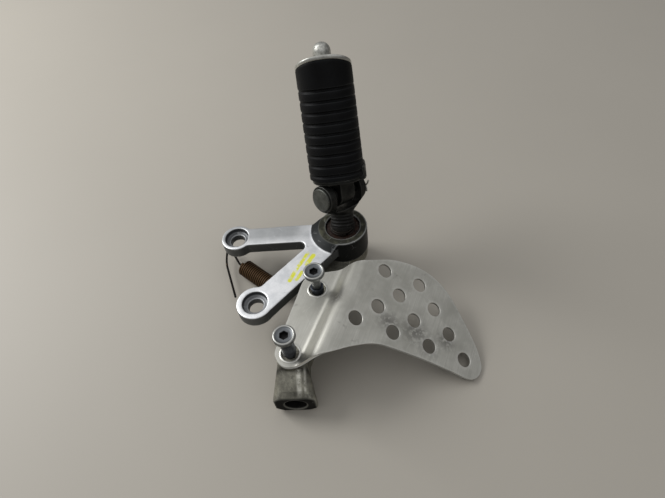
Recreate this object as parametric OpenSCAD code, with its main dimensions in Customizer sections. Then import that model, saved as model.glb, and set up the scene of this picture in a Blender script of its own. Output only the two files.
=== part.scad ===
// Rider's footpeg of a motorcycle: a cast V bracket, a folding rubber peg and a drilled heel guard.
// Origin: centre of the upper mounting bore, on the back face of the bracket. +Z leaves the bracket's face.

/* [V bracket] */
// Thickness of the two arms
plate_t = 10; // [8:0.5:12]
// Across the bracket from the upper to the lower mounting bore
bore_dx = 20; // [18:0.5:24]
// Down the bracket from the upper to the lower mounting bore
bore_dy = 60.5; // [58:0.5:64]
// Radius of the clearance bore for each mounting bolt
mount_r = 5.5; // [4.5:0.25:6]
// Radius of the counterbore for each bolt head
head_seat_r = 9; // [8:0.25:9.5]
// Depth of that counterbore
head_seat_deep = 4; // [2:0.5:5]
// Radius of the round end at the upper bore
upper_end_r = 12; // [11.5:0.25:13]
// Radius of the round end at the lower bore
lower_end_r = 13.3; // [12:0.1:14]

/* [Peg boss] */
// Distance of the peg boss from the upper bore, across
boss_x = 83; // [80:0.5:86]
// Distance of the peg boss from the upper bore, up
boss_y = 1.8; // [0:0.2:4]
// Radius of the raised round pad
pad_r = 18.6; // [17:0.1:20]
// Height of the pad above the back face
pad_top = 14; // [12:0.5:16]
// Radius of the sunk seat in the pad
seat_r = 13; // [11:0.25:14]

/* [Peg] */
// Lean of the peg about the bracket's X axis
peg_lean = -20.5; // [-35:0.1:0]
// Lean of the peg about the bracket's Y axis
peg_roll = 17.7; // [0:0.1:25]
// Turn of the hinge pin about the bracket's normal
peg_yaw = 44.8; // [0:0.1:50]
// Height of the hinge pin above the back face
pin_z = 38; // [36:0.5:42]
// Width of the rubber
rubber_w = 37.5; // [33:0.5:40]
// Depth of the rubber
rubber_d = 35; // [28:0.5:36]
// Length of the peg from the hinge pin to the top edge of its end plate
peg_len = 97; // [90:0.5:100]
// Slant of the outer end
end_slant = 17.5; // [10:0.5:25]
// Turn of the rubber on the core, against the hinge pin
rubber_turn = -46; // [-50:1:0]
// Number of grooves moulded round the rubber
groove_count = 9; // [6:1:9]

/* [Heel guard] */
// Thickness of the guard's sheet
sheet_t = 2; // [1.5:0.1:2.5]
// Radius of the eleven lightening holes
light_r = 5; // [4:0.25:6]
// Pitch of the square grid that the lightening holes sit on
grid_pitch = 20; // [18:0.5:22]
// Slope of the guard's main panel
guard_slope = 29.5; // [20:0.5:35]
// Radius of the two mounting holes in the guard
guard_hole_r = 5.8; // [5:0.1:6]

/* [Lug] */
// Width of the lug's flared end
lug_w = 28; // [24:0.5:30]
// Radius of the bore in the lug's end face
lug_bore_r = 7.25; // [6:0.25:7.5]
// Depth of that bore
lug_bore_deep = 12; // [8:1:13]

/* [Hidden] */
$fn = 64;
slip = 0.1;
upper_bore = [0, 0];
lower_bore = [bore_dx, -bore_dy];
boss = [boss_x, boss_y];

// Height bands of what is stacked along the peg boss
boss_bottom = -8;
ring_t = 10;
seat_z = pad_top - 3;
bush_flange_t = 1.2;
spring_washer_t = 2.2;
washer_t = 1.6;
neck_z = seat_z + bush_flange_t + spring_washer_t + washer_t;
back_washer_t = 1.5;
nut_t = 6.5;
ring_bottom = boss_bottom - ring_t;
stem_r = 6;
stem_end = ring_bottom - back_washer_t - nut_t - 1;
bush_r = 8;

// Bracket outline: the arms are straight bands from the round ends to the boss
band_r = 25;
fillet_r = 4.3;

// Hinge and clevis, in the peg's own frame: X along the pin, Z out along the peg
pin_at = [boss_x, boss_y + 12.2, pin_z];
pin_r = 4;
pin_tip = 22;
peg_spring_r = 5.9;
peg_spring_turns = 3;
ear_r = 10;
ear_out = 18.5;
ear_in = 12.8;
neck_r = 8.5;
head_base = -15;
slot_floor = -10.6;
tongue_w = 14;
tongue_r = 9;
flange_z = 10.5;
flange_t = 3;
rubber_z = flange_z + flange_t;
core_r = 7;
core_end = 84;
corner_r = 14;
groove_deep = 1.2;
lip_t = 2.2;
lip_h = 10;
groove_w = 2.6;
groove_pitch = 7.2;
first_groove = 16.5;
plate_arch_r = 95;
end_plate_t = 2.8;
plate_apex = peg_len - rubber_d / 2 * tan(end_slant);
feeler_r = 5.75;
feeler_tip = 98;

// Guard, in a frame turned so that its two bends run along Y, from the first lightening hole
grid_at = [90.2, -79.1];
guard_yaw = -21.7;
tab_z = plate_t;
upper_guard = [64.5, -53.5];
lower_guard = [47.7, -101.6];
first_bend = -22.8;
second_bend = -11.9;
bend_rise = 9.3;
bend_r = 8;
grid_turn = 54.6;
grid_holes = [[0, 0], [1, 0], [2, 0], [3, 0], [1, 1], [2, 1], [3, 1], [2, 2], [3, 2], [3, 3], [2, -1]];
// The guard's outline seen from above, a smooth closed curve through these points
guard_edge = [[-10, 42], [10, 56.5], [31, 61.8], [49, 56], [67, 40], [80, 25.5], [85.2, 13.5], [80.5, 3.8],
              [66, 1.6], [49, -0.8], [31, -4.4], [17, -8.5], [5, -17.6], [-8, -31], [-19, -40],
              [-30.5, -46.2], [-39.8, -41], [-41.6, -31], [-43, -14], [-44.4, 4], [-45.3, 17.5],
              [-41.5, 25], [-32, 29.8]];

// Guard bolts and collars
bolt_r = 3;
flange_head_r = 7.2;
head_neck_r = 4.6;
socket_r = 3;
socket_deep = 4;
upper_bolt_top = 34.5;
lower_bolt_top = 37;
bolt_low = -11;
head_t = 7;
rim_t = 3.4;
collar_r = 4.5;
short_collar = 6;
long_collar = 16;
bolt_hole_r = 3.1;
stay_low = -17;
upper_stay_r = 9;
lower_stay_r = 10;

// Lug
lug_at = [48.4, -125.8];
lug_low = -24;
lug_high = -5;
lug_bore_z = -14.6;

// Loose spring under the bracket
coil_at = [2.2, -12, -13.5];
coil_dir = [0.785, -0.614, -0.075];
coil_r = 6;
coil_wire = 1.7;
coil_pitch = 1.75;
coil_turns = 19;
post_at = [41.5, -35];
post_r = 3;
post_tip_r = 2;
post_seat = 2;

// Vector and path helpers
function unit(v) = v / norm(v);
function reversed(list) = [for (i = [len(list) - 1:-1:0]) list[i]];
function turned(v, a) = [v.x * cos(a) - v.y * sin(a), v.x * sin(a) + v.y * cos(a)];
// A corner at b between straight runs to a and c, as an arc of radius r
function corner(a, b, c, r, steps = 6) =
    let (d1 = unit(b - a), d2 = unit(c - b), side = sign(d1.x * d2.y - d1.y * d2.x), bend = acos(d1 * d2),
         start = b - d1 * r * tan(bend / 2), centre = start + side * r * [-d1.y, d1.x])
    [for (i = [0:steps]) centre + turned(start - centre, side * bend * i / steps)];
// A closed curve that passes smoothly through each point
function smooth_loop(pts, steps = 4) =
    [for (i = [0:len(pts) - 1], k = [0:steps - 1])
        let (n = len(pts), t = k / steps, p0 = pts[(i + n - 1) % n], p1 = pts[i], p2 = pts[(i + 1) % n],
             p3 = pts[(i + 2) % n])
        0.5 * (2 * p1 + (p2 - p0) * t + (2 * p0 - 5 * p1 + 4 * p2 - p3) * t * t
               + (3 * p1 - p0 - 3 * p2 + p3) * t * t * t)];
// Both sides of a path of even thickness
function ribbon(path, t) =
    let (last = len(path) - 1,
         ahead = [for (i = [0:last]) unit(path[min(i + 1, last)] - path[max(i - 1, 0)])],
         normals = [for (d = ahead) [-d.y, d.x]])
    concat([for (i = [0:last]) path[i] + normals[i] * t / 2],
           reversed([for (i = [0:last]) path[i] - normals[i] * t / 2]));
function across(v) = abs(v.x) < 0.8 ? unit(cross(v, [1, 0, 0])) : unit(cross(v, [0, 1, 0]));

// A round wire along a path, with rings that turn as little as they can
module wire(path, r, sides = 6) {
    last = len(path) - 1;
    tangents = [for (i = [0:last]) unit(path[min(i + 1, last)] - path[max(i - 1, 0)])];
    sideways = [for (i = 0, s = across(tangents[0]); i <= last;
                     i = i + 1, s = i > last ? s : unit(s - (s * tangents[i]) * tangents[i])) s];
    rings = [for (i = [0:last], k = [0:sides - 1])
        let (a = 360 * k / sides)
        path[i] + r * (cos(a) * sideways[i] + sin(a) * cross(tangents[i], sideways[i]))];
    skin = [for (i = [0:last - 1], k = [0:sides - 1])
        let (a = i * sides + k, b = i * sides + (k + 1) % sides)
        [b, a, a + sides, b + sides]];
    caps = [[for (k = [0:sides - 1]) k], [for (k = [sides - 1:-1:0]) last * sides + k]];
    polyhedron(points = rings, faces = concat(skin, caps), convexity = 10);
}

module at_boss(z) {
    translate([boss.x, boss.y, z]) children();
}

module in_peg_frame() {
    translate(pin_at) rotate([peg_lean, peg_roll, peg_yaw]) children();
}

module in_guard_frame() {
    translate([grid_at.x, grid_at.y, 0]) rotate([0, 0, guard_yaw]) children();
}

module ring(outer, inner, h) {
    difference() {
        cylinder(r = outer, h = h);
        translate([0, 0, -1]) cylinder(r = inner, h = h + 2);
    }
}

module rounded_rect(w, d, r) {
    square([w - 2 * r, d], center = true);
    square([w, d - 2 * r], center = true);
    for (x = [-1, 1], y = [-1, 1]) translate([x * (w / 2 - r), y * (d / 2 - r)]) circle(r = r);
}

// Seen from the front: two arms in a V, with a small radius where they meet
module bracket_outline() {
    offset(r = -fillet_r, $fn = 40) offset(r = fillet_r, $fn = 40) {
        translate(upper_bore) circle(r = upper_end_r);
        translate(lower_bore) circle(r = lower_end_r);
        translate(boss) circle(r = pad_r);
        polygon([[0, 8.4], [60, 8.6], [boss.x - 14, 13.5], boss, [60, -8.2], [0, -8.2]]);
        polygon([[20.8, -49.6], [57.7, -10.1], [60, -6], boss, [boss.x - 1.9, -14.2], [29.9, -69],
                 lower_bore]);
    }
}

module hanger() color("gainsboro") difference() {
    union() {
        linear_extrude(plate_t) bracket_outline();
        at_boss(boss_bottom) cylinder(r = pad_r, h = pad_top - boss_bottom);
        intersection() {
            linear_extrude(pad_top) bracket_outline();
            at_boss(plate_t) cylinder(r1 = band_r, r2 = pad_r, h = pad_top - plate_t);
        }
    }
    for (at = [upper_bore, lower_bore]) translate([at.x, at.y, 0]) {
        translate([0, 0, -1]) cylinder(r = mount_r, h = plate_t + 2);
        translate([0, 0, plate_t - head_seat_deep]) cylinder(r = head_seat_r, h = plate_t);
    }
    at_boss(seat_z) cylinder(r = seat_r, h = pad_top);
    at_boss(boss_bottom - 1) cylinder(r = bush_r + 0.05, h = seat_z - boss_bottom + 2);
    translate([post_at.x, post_at.y, -1]) {
        cylinder(r = post_tip_r + 0.05, h = 7);
        cylinder(r = post_r + 0.2, h = 1 + post_seat);
    }
}

// Darker cast stay: a ring clamped under the peg boss, two guard bosses and a flared lug
module guard_stay() color("dimgray") difference() {
    union() {
        at_boss(ring_bottom) cylinder(r = pad_r - 0.6, h = ring_t);
        hull() {
            at_boss(ring_bottom) cylinder(r = 10, h = ring_t - 0.5, $fn = 32);
            translate([upper_guard.x, upper_guard.y, stay_low]) cylinder(r = 8.5, h = 8.5, $fn = 32);
        }
        hull() {
            translate([upper_guard.x, upper_guard.y, stay_low]) cylinder(r = 8, h = 17, $fn = 32);
            translate([lower_guard.x, lower_guard.y, stay_low]) cylinder(r = 8.5, h = 19, $fn = 32);
        }
        hull() {
            translate([lower_guard.x, lower_guard.y - 2, lug_low + 0.5])
                cylinder(r = 9, h = 6 - lug_low, $fn = 32);
            translate([lug_at.x, lug_at.y + 1.5, (lug_low + lug_high) / 2]) lug_end();
        }
        translate([upper_guard.x, upper_guard.y, stay_low])
            cylinder(r = upper_stay_r, h = tab_z - stay_low);
        translate([lower_guard.x, lower_guard.y, stay_low])
            cylinder(r = lower_stay_r, h = tab_z - stay_low);
    }
    at_boss(ring_bottom - 1) cylinder(r = stem_r + slip, h = ring_t + 2);
    for (at = [upper_guard, lower_guard])
        translate([at.x, at.y, bolt_low - 1]) cylinder(r = bolt_hole_r, h = 40);
    translate([lug_at.x, lug_at.y, lug_bore_z]) rotate([90, 0, 0]) {
        translate([0, 0, -lug_bore_deep]) cylinder(r = lug_bore_r, h = lug_bore_deep + 5);
    }
}

// The lug's end face is a flat oblong with chamfered lower corners
module lug_end() {
    half_w = lug_w / 2;
    half_h = (lug_high - lug_low) / 2;
    rotate([90, 0, 0]) linear_extrude(3, center = true)
        polygon([[-half_w, half_h - 3], [-half_w + 3, half_h], [half_w - 3, half_h], [half_w, half_h - 3],
                 [half_w, 3 - half_h], [half_w - 5, -half_h], [5 - half_w, -half_h], [-half_w, 4 - half_h]]);
}

// Folded sheet: flat tab, a step up through two bends, then the long sloping panel
module heel_guard() color("silver") difference() {
    in_guard_frame() intersection() {
        rotate([90, 0, 0]) linear_extrude(130, center = true) polygon(guard_section());
        translate([0, 0, -60]) linear_extrude(120) polygon(smooth_loop(guard_edge));
    }
    for (at = [upper_guard, lower_guard]) translate([at.x, at.y, 0]) cylinder(r = guard_hole_r, h = 20);
    in_guard_frame() translate([0, 0, panel_z0()]) rotate([0, guard_slope, 0])
        for (h = grid_holes)
            translate(grid_place(h)) cylinder(r = light_r, h = 20, center = true);
}
function panel_z0() = tab_z + sheet_t / 2 + bend_rise + second_bend * tan(guard_slope);
function grid_place(h) = grid_pitch * [h.x * cos(grid_turn) + h.y * sin(grid_turn),
                                       h.x * sin(grid_turn) - h.y * cos(grid_turn), 0];
function guard_section() =
    let (low = tab_z + sheet_t / 2, start = [-60, low],
         b1 = [first_bend, low], b2 = [second_bend, low + bend_rise],
         end = [100, low + bend_rise - (100 - second_bend) * tan(guard_slope)])
    ribbon(concat([start], corner(start, b1, b2, bend_r), corner(b1, b2, end, bend_r), [end]), sheet_t);

// Flanged socket screw, backed out of its boss
module guard_bolt(at, top) color("darkgray") translate([at.x, at.y, 0]) difference() {
    union() {
        translate([0, 0, bolt_low]) cylinder(r = bolt_r, h = top - head_t + 1 - bolt_low);
        translate([0, 0, top - head_t])
            cylinder(r1 = head_neck_r, r2 = head_neck_r + 1, h = head_t - rim_t);
        translate([0, 0, top - rim_t]) cylinder(r = flange_head_r, h = rim_t);
    }
    translate([0, 0, top - socket_deep]) cylinder(r = socket_r, h = socket_deep + 5, $fn = 6);
}
module guard_bolt_upper() guard_bolt(upper_guard, upper_bolt_top);
module guard_bolt_lower() guard_bolt(lower_guard, lower_bolt_top);

// Spacer sleeves of the guard bolts: one lies in its hole, the other hangs under the head
module guard_collar_upper() color("slategray")
    translate([upper_guard.x, upper_guard.y, tab_z]) ring(collar_r, bolt_hole_r, short_collar);
module guard_collar_lower() color("slategray")
    translate([lower_guard.x, lower_guard.y, lower_bolt_top - head_t - long_collar])
        ring(collar_r, bolt_hole_r, long_collar);

module holder_bush() color("saddlebrown") difference() {
    union() {
        at_boss(seat_z) cylinder(r = seat_r - 0.3, h = bush_flange_t);
        at_boss(boss_bottom) cylinder(r = bush_r, h = seat_z - boss_bottom + 0.5);
    }
    at_boss(boss_bottom - 1) cylinder(r = stem_r + slip, h = 40);
}

module holder_spring_washer() color("gray") at_boss(seat_z + bush_flange_t) difference() {
    ring(9.6, stem_r + slip, spring_washer_t);
    rotate([25, 0, -70]) translate([0, 0, -5]) cube([20, 1.2, 12]);
}

module holder_washer() color("gray")
    at_boss(seat_z + bush_flange_t + spring_washer_t) ring(9.2, stem_r + slip, washer_t);

// Steel clevis: threaded stem, leaning neck and two ears
module peg_holder() color("#4a4a4a") {
    at_boss(stem_end) cylinder(r = stem_r, h = neck_z - stem_end + 1);
    difference() {
        union() {
            hull() {
                at_boss(neck_z) cylinder(r = neck_r, h = 1.5, $fn = 32);
                in_peg_frame() translate([0, 0, head_base]) cylinder(r = neck_r, h = 1, $fn = 32);
            }
            hull() {
                in_peg_frame() translate([0, 0, head_base]) cylinder(r = neck_r, h = 1, $fn = 32);
                in_peg_frame() rotate([0, 90, 0])
                    cylinder(r = ear_r, h = 2 * ear_out, center = true, $fn = 48);
            }
        }
        in_peg_frame() translate([-ear_in, -30, slot_floor]) cube([2 * ear_in, 60, 40]);
        in_peg_frame() rotate([0, 90, 0]) cylinder(r = pin_r + 0.05, h = 60, center = true);
    }
}

module holder_back_washer() color("gray")
    at_boss(ring_bottom - back_washer_t) ring(12, stem_r + slip, back_washer_t);

module holder_nut() color("gray") at_boss(ring_bottom - back_washer_t - nut_t) difference() {
    cylinder(r = 11, h = nut_t, $fn = 6);
    translate([0, 0, -1]) cylinder(r = stem_r + 0.05, h = nut_t + 2);
}

module clevis_pin() color("darkgray") in_peg_frame() difference() {
    rotate([0, 90, 0]) {
        translate([0, 0, -ear_out - 1.5]) cylinder(r = 8.5, h = 1.5);
        translate([0, 0, -ear_out - 1]) cylinder(r = pin_r, h = ear_out + 1 + pin_tip);
    }
    translate([pin_tip - 1.5, 0, 0]) rotate([90, 0, 0]) cylinder(r = 0.9, h = 20, center = true);
}

module pin_washer() color("gray") in_peg_frame()
    translate([ear_out, 0, 0]) rotate([0, 90, 0]) ring(7, pin_r + 0.1, 1);

// Split pin: a doubled wire through the hinge pin, with an eye at the back
module split_pin() color("silver") in_peg_frame() translate([pin_tip - 1.5, 0, 0]) {
    rotate([90, 0, 0]) cylinder(r = 0.8, h = 16, center = true);
    translate([0, 9.4, 0]) rotate([0, 90, 0]) rotate_extrude() translate([1.9, 0]) circle(r = 0.7, $fn = 24);
    translate([0, -7.6, 0]) rotate([160, 0, 0]) cylinder(r = 0.8, h = 6);
}

// Torsion spring round the hinge pin, left of the peg's tongue
module peg_spring() color("#3b3b3b") in_peg_frame() wire(concat(
    [[-12, peg_spring_r, -9.8], [-12, peg_spring_r, -5]],
    [for (i = [0:peg_spring_turns * 20]) let (a = 18 * i)
        [-12 + 4 * i / (peg_spring_turns * 20), peg_spring_r * cos(a), peg_spring_r * sin(a)]],
    [[-8, peg_spring_r, 3], [-8, peg_spring_r + 0.3, 6]]), 0.6, 6);

// Extension spring with one long leg, which lies under the bracket and hooks on the post
module return_spring() color("#4b3326") wire(spring_path(), coil_wire / 2, 6);
function spring_path() =
    let (axis = unit(coil_dir), out = across(axis), up = cross(axis, out), steps = 14,
         far = coil_at + axis * coil_turns * coil_pitch)
    concat([[-2.2, -39.5, -14], [-9, -20, -13.5], [-12.8, -8, -12.5], [-13.6, 2.5, -11.5],
            [-12.4, 4.6, -11.2], [-10.5, 4.8, -11.3]],
           [for (i = [1:2]) coil_at + axis * (i * 2.6 - 8.6) + out * (i - 1) * 1.4],
           [for (i = [0:coil_turns * steps]) let (a = 360 * i / steps)
               coil_at + axis * coil_pitch * i / steps + coil_r * (cos(a) * out + sin(a) * up)],
           [far + axis * 2.5 + out * 3.5, far + axis * 5 + out * 0.5, far + axis * 11 + out * 0.3],
           [for (i = [0:9]) let (a = 215 - 25 * i)
               [post_at.x, post_at.y, -13.6] + (post_r + coil_wire / 2 + 0.15) * [cos(a), sin(a), 0]]);

module spring_post() color("gray") translate([post_at.x, post_at.y, 0]) {
    translate([0, 0, -17.5]) cylinder(r = post_r + 1.5, h = 1.5);
    translate([0, 0, -16.5]) cylinder(r = post_r, h = 16.5 + post_seat);
    translate([0, 0, 1]) cylinder(r = post_tip_r, h = 4.5);
}

// Peg's steel core: tongue on the pin, oblong flange, round bar inside the rubber
module peg_core() color("#555555") in_peg_frame() difference() {
    union() {
        rotate([0, 90, 0]) cylinder(r = tongue_r, h = tongue_w, center = true);
        translate([-tongue_w / 2, -tongue_r, 0]) cube([tongue_w, 2 * tongue_r, flange_z + 1]);
        rotate([0, 0, rubber_turn]) translate([0, 0, flange_z]) {
            linear_extrude(flange_t) rounded_rect(rubber_w - 1, rubber_d - 2, corner_r);
            core_lip();
        }
        translate([0, 0, flange_z]) cylinder(r = core_r, h = core_end - flange_z);
    }
    rotate([0, 90, 0]) cylinder(r = pin_r + 0.06, h = 60, center = true);
    translate([0, 0, core_end - 24]) cylinder(r = 4.1, h = 30);
}

// A lip of the flange that stands up beside the rubber
module core_lip() {
    linear_extrude(flange_t) lip_part() lip_outline();
    linear_extrude(lip_h) lip_part() difference() {
        lip_outline();
        rounded_rect(rubber_w + 0.3, rubber_d + 0.3, corner_r);
    }
}
module lip_outline() rounded_rect(rubber_w + 2 * lip_t, rubber_d + 2 * lip_t, corner_r + lip_t);
module lip_part() intersection() {
    children();
    translate([rubber_w / 2, 0]) square([14, 20], center = true);
}

// The slanted, arched surface that ends the peg, lowered by a given amount
module end_arch(sink) {
    translate([0, 0, plate_apex]) rotate([-end_slant, 0, 0]) translate([0, 0, -plate_arch_r])
        rotate([90, 0, 0]) cylinder(r = plate_arch_r - sink, h = 120, center = true, $fn = 128);
}

module peg_rubber() color("#1c1c1c") in_peg_frame() rotate([0, 0, rubber_turn]) difference() {
    intersection() {
        translate([0, 0, rubber_z]) linear_extrude(peg_len) rounded_rect(rubber_w, rubber_d, corner_r);
        end_arch(end_plate_t);
    }
    for (i = [0:groove_count - 1]) translate([0, 0, first_groove + groove_pitch * i]) difference() {
        linear_extrude(groove_w) square(60, center = true);
        translate([0, 0, -1]) linear_extrude(groove_w + 2)
            rounded_rect(rubber_w - 2 * groove_deep, rubber_d - 2 * groove_deep, corner_r - groove_deep);
    }
    cylinder(r = core_r + slip, h = 200);
}

module end_plate() color("gainsboro") in_peg_frame() rotate([0, 0, rubber_turn]) difference() {
    intersection() {
        translate([0, 0, rubber_z]) linear_extrude(peg_len) rounded_rect(rubber_w, rubber_d, corner_r);
        end_arch(0);
    }
    end_arch(end_plate_t);
    cylinder(r = feeler_r + slip, h = 200);
}

module feeler_bolt() color("lightgray") in_peg_frame() {
    translate([0, 0, core_end - 22]) cylinder(r = 4, h = 23);
    translate([0, 0, core_end]) cylinder(r = feeler_r, h = feeler_tip - core_end);
    translate([0, 0, feeler_tip]) sphere(r = feeler_r - 0.3);
}

hanger();
guard_stay();
heel_guard();
guard_bolt_upper();
guard_bolt_lower();
guard_collar_upper();
guard_collar_lower();
holder_bush();
holder_spring_washer();
holder_washer();
peg_holder();
holder_back_washer();
holder_nut();
clevis_pin();
pin_washer();
split_pin();
peg_spring();
return_spring();
spring_post();
peg_core();
peg_rubber();
end_plate();
feeler_bolt();
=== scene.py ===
"""Dressed model of a folding rider's footpeg on its cast bracket.

Every length here is in millimetres in the part's frame, or in the frame that a piece is built in,
and becomes metres when a mesh is made. The solids give each piece its place: cast parts are copies
of their solids rebuilt as one soft skin, and everything else is a surface of two parameters.
"""
import logging
import math
from collections.abc import Callable, Sequence
from dataclasses import dataclass, field
from enum import Enum

import bmesh
import bpy
import numpy as np
from mathutils import Matrix, Vector
from mathutils.geometry import delaunay_2d_cdt


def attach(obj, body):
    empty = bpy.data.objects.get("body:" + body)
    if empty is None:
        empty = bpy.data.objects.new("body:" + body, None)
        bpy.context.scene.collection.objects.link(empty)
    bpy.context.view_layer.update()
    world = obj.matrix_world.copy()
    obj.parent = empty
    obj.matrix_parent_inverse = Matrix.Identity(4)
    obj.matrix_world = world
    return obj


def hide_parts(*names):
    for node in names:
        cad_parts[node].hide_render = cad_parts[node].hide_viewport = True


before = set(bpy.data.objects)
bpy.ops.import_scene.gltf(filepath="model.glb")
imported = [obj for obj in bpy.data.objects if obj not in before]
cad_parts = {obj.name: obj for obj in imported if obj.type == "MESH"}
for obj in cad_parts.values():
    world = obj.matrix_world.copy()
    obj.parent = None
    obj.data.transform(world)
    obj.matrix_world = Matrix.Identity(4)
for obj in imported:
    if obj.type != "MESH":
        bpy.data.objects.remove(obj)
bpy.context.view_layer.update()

log = logging.getLogger("footpeg")

Array = np.ndarray
Mesh = bpy.types.Mesh
Node = bpy.types.Node
Piece = bpy.types.Object
Socket = bpy.types.NodeSocket
Pair = tuple[float, float]
Triple = tuple[float, float, float]
Colour = tuple[float, float, float, float]
# Metres in a millimetre
MM = 0.001
# Degrees from which an edge stays sharp on a piece that has none
ALL_SOFT = 180.0


class Body(Enum):
    """The two bodies that a piece can ride on."""

    BRACKET = "bracket"
    PEG = "peg"


class Slot(Enum):
    """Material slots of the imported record."""

    CAST_BRACKET = "cast_bracket"
    CAST_STAY = "cast_stay"
    BRUSHED_SHEET = "brushed_sheet"
    ZINC_STEEL = "zinc_steel"
    DARK_STEEL = "dark_steel"
    BRONZE = "bronze"
    RUSTY_WIRE = "rusty_wire"
    PEG_RUBBER = "peg_rubber"
    BRIGHT_STEEL = "bright_steel"


@dataclass(frozen=True)
class Place:
    """A frame that a piece is built in: its origin, its turns in the part's frame, and its spin."""

    origin: Triple
    turns: Triple = (0.0, 0.0, 0.0)
    spin: float = 0.0

    def matrix(self) -> Array:
        """Spin about its own Z, then turn about X, Y and Z, by degrees.

        Returns:
            The 3 by 3 matrix that carries a direction of this frame into the part's frame.
        """
        a, b, c = (math.radians(turn) for turn in self.turns)
        d = math.radians(self.spin)
        spun = np.array([[math.cos(d), -math.sin(d), 0], [math.sin(d), math.cos(d), 0], [0, 0, 1]])
        about_x = np.array([[1, 0, 0], [0, math.cos(a), -math.sin(a)], [0, math.sin(a), math.cos(a)]])
        about_y = np.array([[math.cos(b), 0, math.sin(b)], [0, 1, 0], [-math.sin(b), 0, math.cos(b)]])
        about_z = np.array([[math.cos(c), -math.sin(c), 0], [math.sin(c), math.cos(c), 0], [0, 0, 1]])
        return about_z @ about_y @ about_x @ spun

    def out(self, points: Array) -> Array:
        """Points of this frame as points of the part's frame."""
        return points @ self.matrix().T + np.array(self.origin)

    def into(self, points: Array) -> Array:
        """Points of the part's frame as points of this frame."""
        return (points - np.array(self.origin)) @ self.matrix()


PART = Place((0.0, 0.0, 0.0))
BOSS = Place((83.0, 1.8, 0.0))
PEG = Place((83.0, 14.0, 38.0), (-20.5, 17.7, 44.8))
RUBBER_PLACE = Place(PEG.origin, PEG.turns, -46.0)
GUARD = Place((90.2, -79.1, 0.0), (0.0, 0.0, -21.7))
ALONG_PIN = np.array([[0.0, 0.0, -1.0], [0.0, 1.0, 0.0], [1.0, 0.0, 0.0]])


def tone(red: float, green: float, blue: float) -> Colour:
    """Turn a screen colour into the linear colour that nodes take.

    Args:
        red, green, blue: screen values from 0 to 255.

    Returns:
        The linear colour with full opacity.
    """
    screen = np.array([red, green, blue]) / 255.0
    linear = np.where(screen <= 0.04045, screen / 12.92, ((screen + 0.055) / 1.055) ** 2.4)
    return (float(linear[0]), float(linear[1]), float(linear[2]), 1.0)


# Shader graphs


class Graph:
    """Short calls that build a node tree."""

    def __init__(self, tree: bpy.types.NodeTree) -> None:
        """Keep the tree that the calls add to."""
        self.tree = tree

    def feed(self, socket: Socket, value: object) -> None:
        """Link a socket into another, or set its constant.

        Args:
            socket: the input to feed.
            value: an output socket or a constant.
        """
        if isinstance(value, Socket):
            self.tree.links.new(value, socket)
        else:
            socket.default_value = value

    def add(self, kind: str, sockets: dict | None = None, **settings: object) -> Node:
        """Add one node.

        Args:
            kind: the node's type name.
            sockets: values or sockets to feed, by input name or number.
            settings: the node's own properties.

        Returns:
            The new node.
        """
        node = self.tree.nodes.new(kind)
        for name, value in settings.items():
            setattr(node, name, value)
        for key, value in (sockets or {}).items():
            self.feed(node.inputs[key], value)
        return node

    def attribute(self, name: str) -> Socket:
        """A mask that is stored on the mesh."""
        return self.add("ShaderNodeAttribute", attribute_name=name).outputs["Fac"]

    def stretched(self, vector: Socket, scale: Triple, turn: float) -> Socket:
        """Coordinates turned about Z by degrees, then scaled.

        Args:
            vector: the coordinates.
            scale: the scale along each axis.
            turn: the turn in degrees.

        Returns:
            The new coordinates.
        """
        about_z = (0.0, 0.0, math.radians(turn))
        turned_round = self.add("ShaderNodeMapping", {"Vector": vector, "Rotation": about_z})
        return self.add("ShaderNodeMapping", {"Vector": turned_round.outputs[0], "Scale": scale}).outputs[0]

    def maths(self, operation: str, first: object, second: object) -> Socket:
        """One sum of two values, kept between 0 and 1."""
        node = self.add("ShaderNodeMath", {0: first, 1: second}, operation=operation, use_clamp=True)
        return node.outputs[0]

    def span(self, value: Socket, low: object, high: object, start: float = 0.0,
             end: float = 1.0) -> Socket:
        """Carry a value from one range to another, and stop at its ends.

        Args:
            value: the value.
            low, high: the range that it comes from, as constants or sockets.
            start, end: the range that it goes to.

        Returns:
            The carried value.
        """
        sockets = {"Value": value, "From Min": low, "From Max": high, "To Min": start, "To Max": end}
        return self.add("ShaderNodeMapRange", sockets, clamp=True).outputs[0]

    def blend(self, factor: object, first: object, second: object) -> Socket:
        """A colour between two."""
        return self.add("ShaderNodeMix", {0: factor, 6: first, 7: second}, data_type="RGBA").outputs[2]

    def between(self, factor: object, first: object, second: object) -> Socket:
        """A value between two."""
        return self.add("ShaderNodeMix", {0: factor, 2: first, 3: second}, data_type="FLOAT").outputs[0]

    def group(self, effect: "Effect", sockets: dict) -> Socket:
        """Place a shared effect.

        Args:
            effect: which effect.
            sockets: values or sockets to feed, by input name.

        Returns:
            The effect's output.
        """
        node = self.add("ShaderNodeGroup", node_tree=effect_tree(effect))
        for key, value in sockets.items():
            self.feed(node.inputs[key], value)
        return node.outputs[0]


class Effect(Enum):
    """Shared effects, each one node group."""

    PATCHES = "patches"
    SCRATCHES = "scratches"
    RELIEF = "relief"


def patches(graph: Graph, given: Node) -> Socket:
    """Cloudy patches of a size in millimetres: a noise cut between two levels.

    Args:
        graph: the group's graph.
        given: the group's input node.

    Returns:
        The mask's socket.
    """
    scale = graph.add("ShaderNodeMath", {0: 1 / MM, 1: given.outputs["Size"]}, operation="DIVIDE")
    noise = graph.add("ShaderNodeTexNoise", {
        "Vector": given.outputs["Vector"],
        "Scale": scale.outputs[0],
        "Detail": 4.0,
        "Roughness": 0.6,
    })
    return graph.span(noise.outputs[0], given.outputs["Low"], given.outputs["High"])


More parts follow.
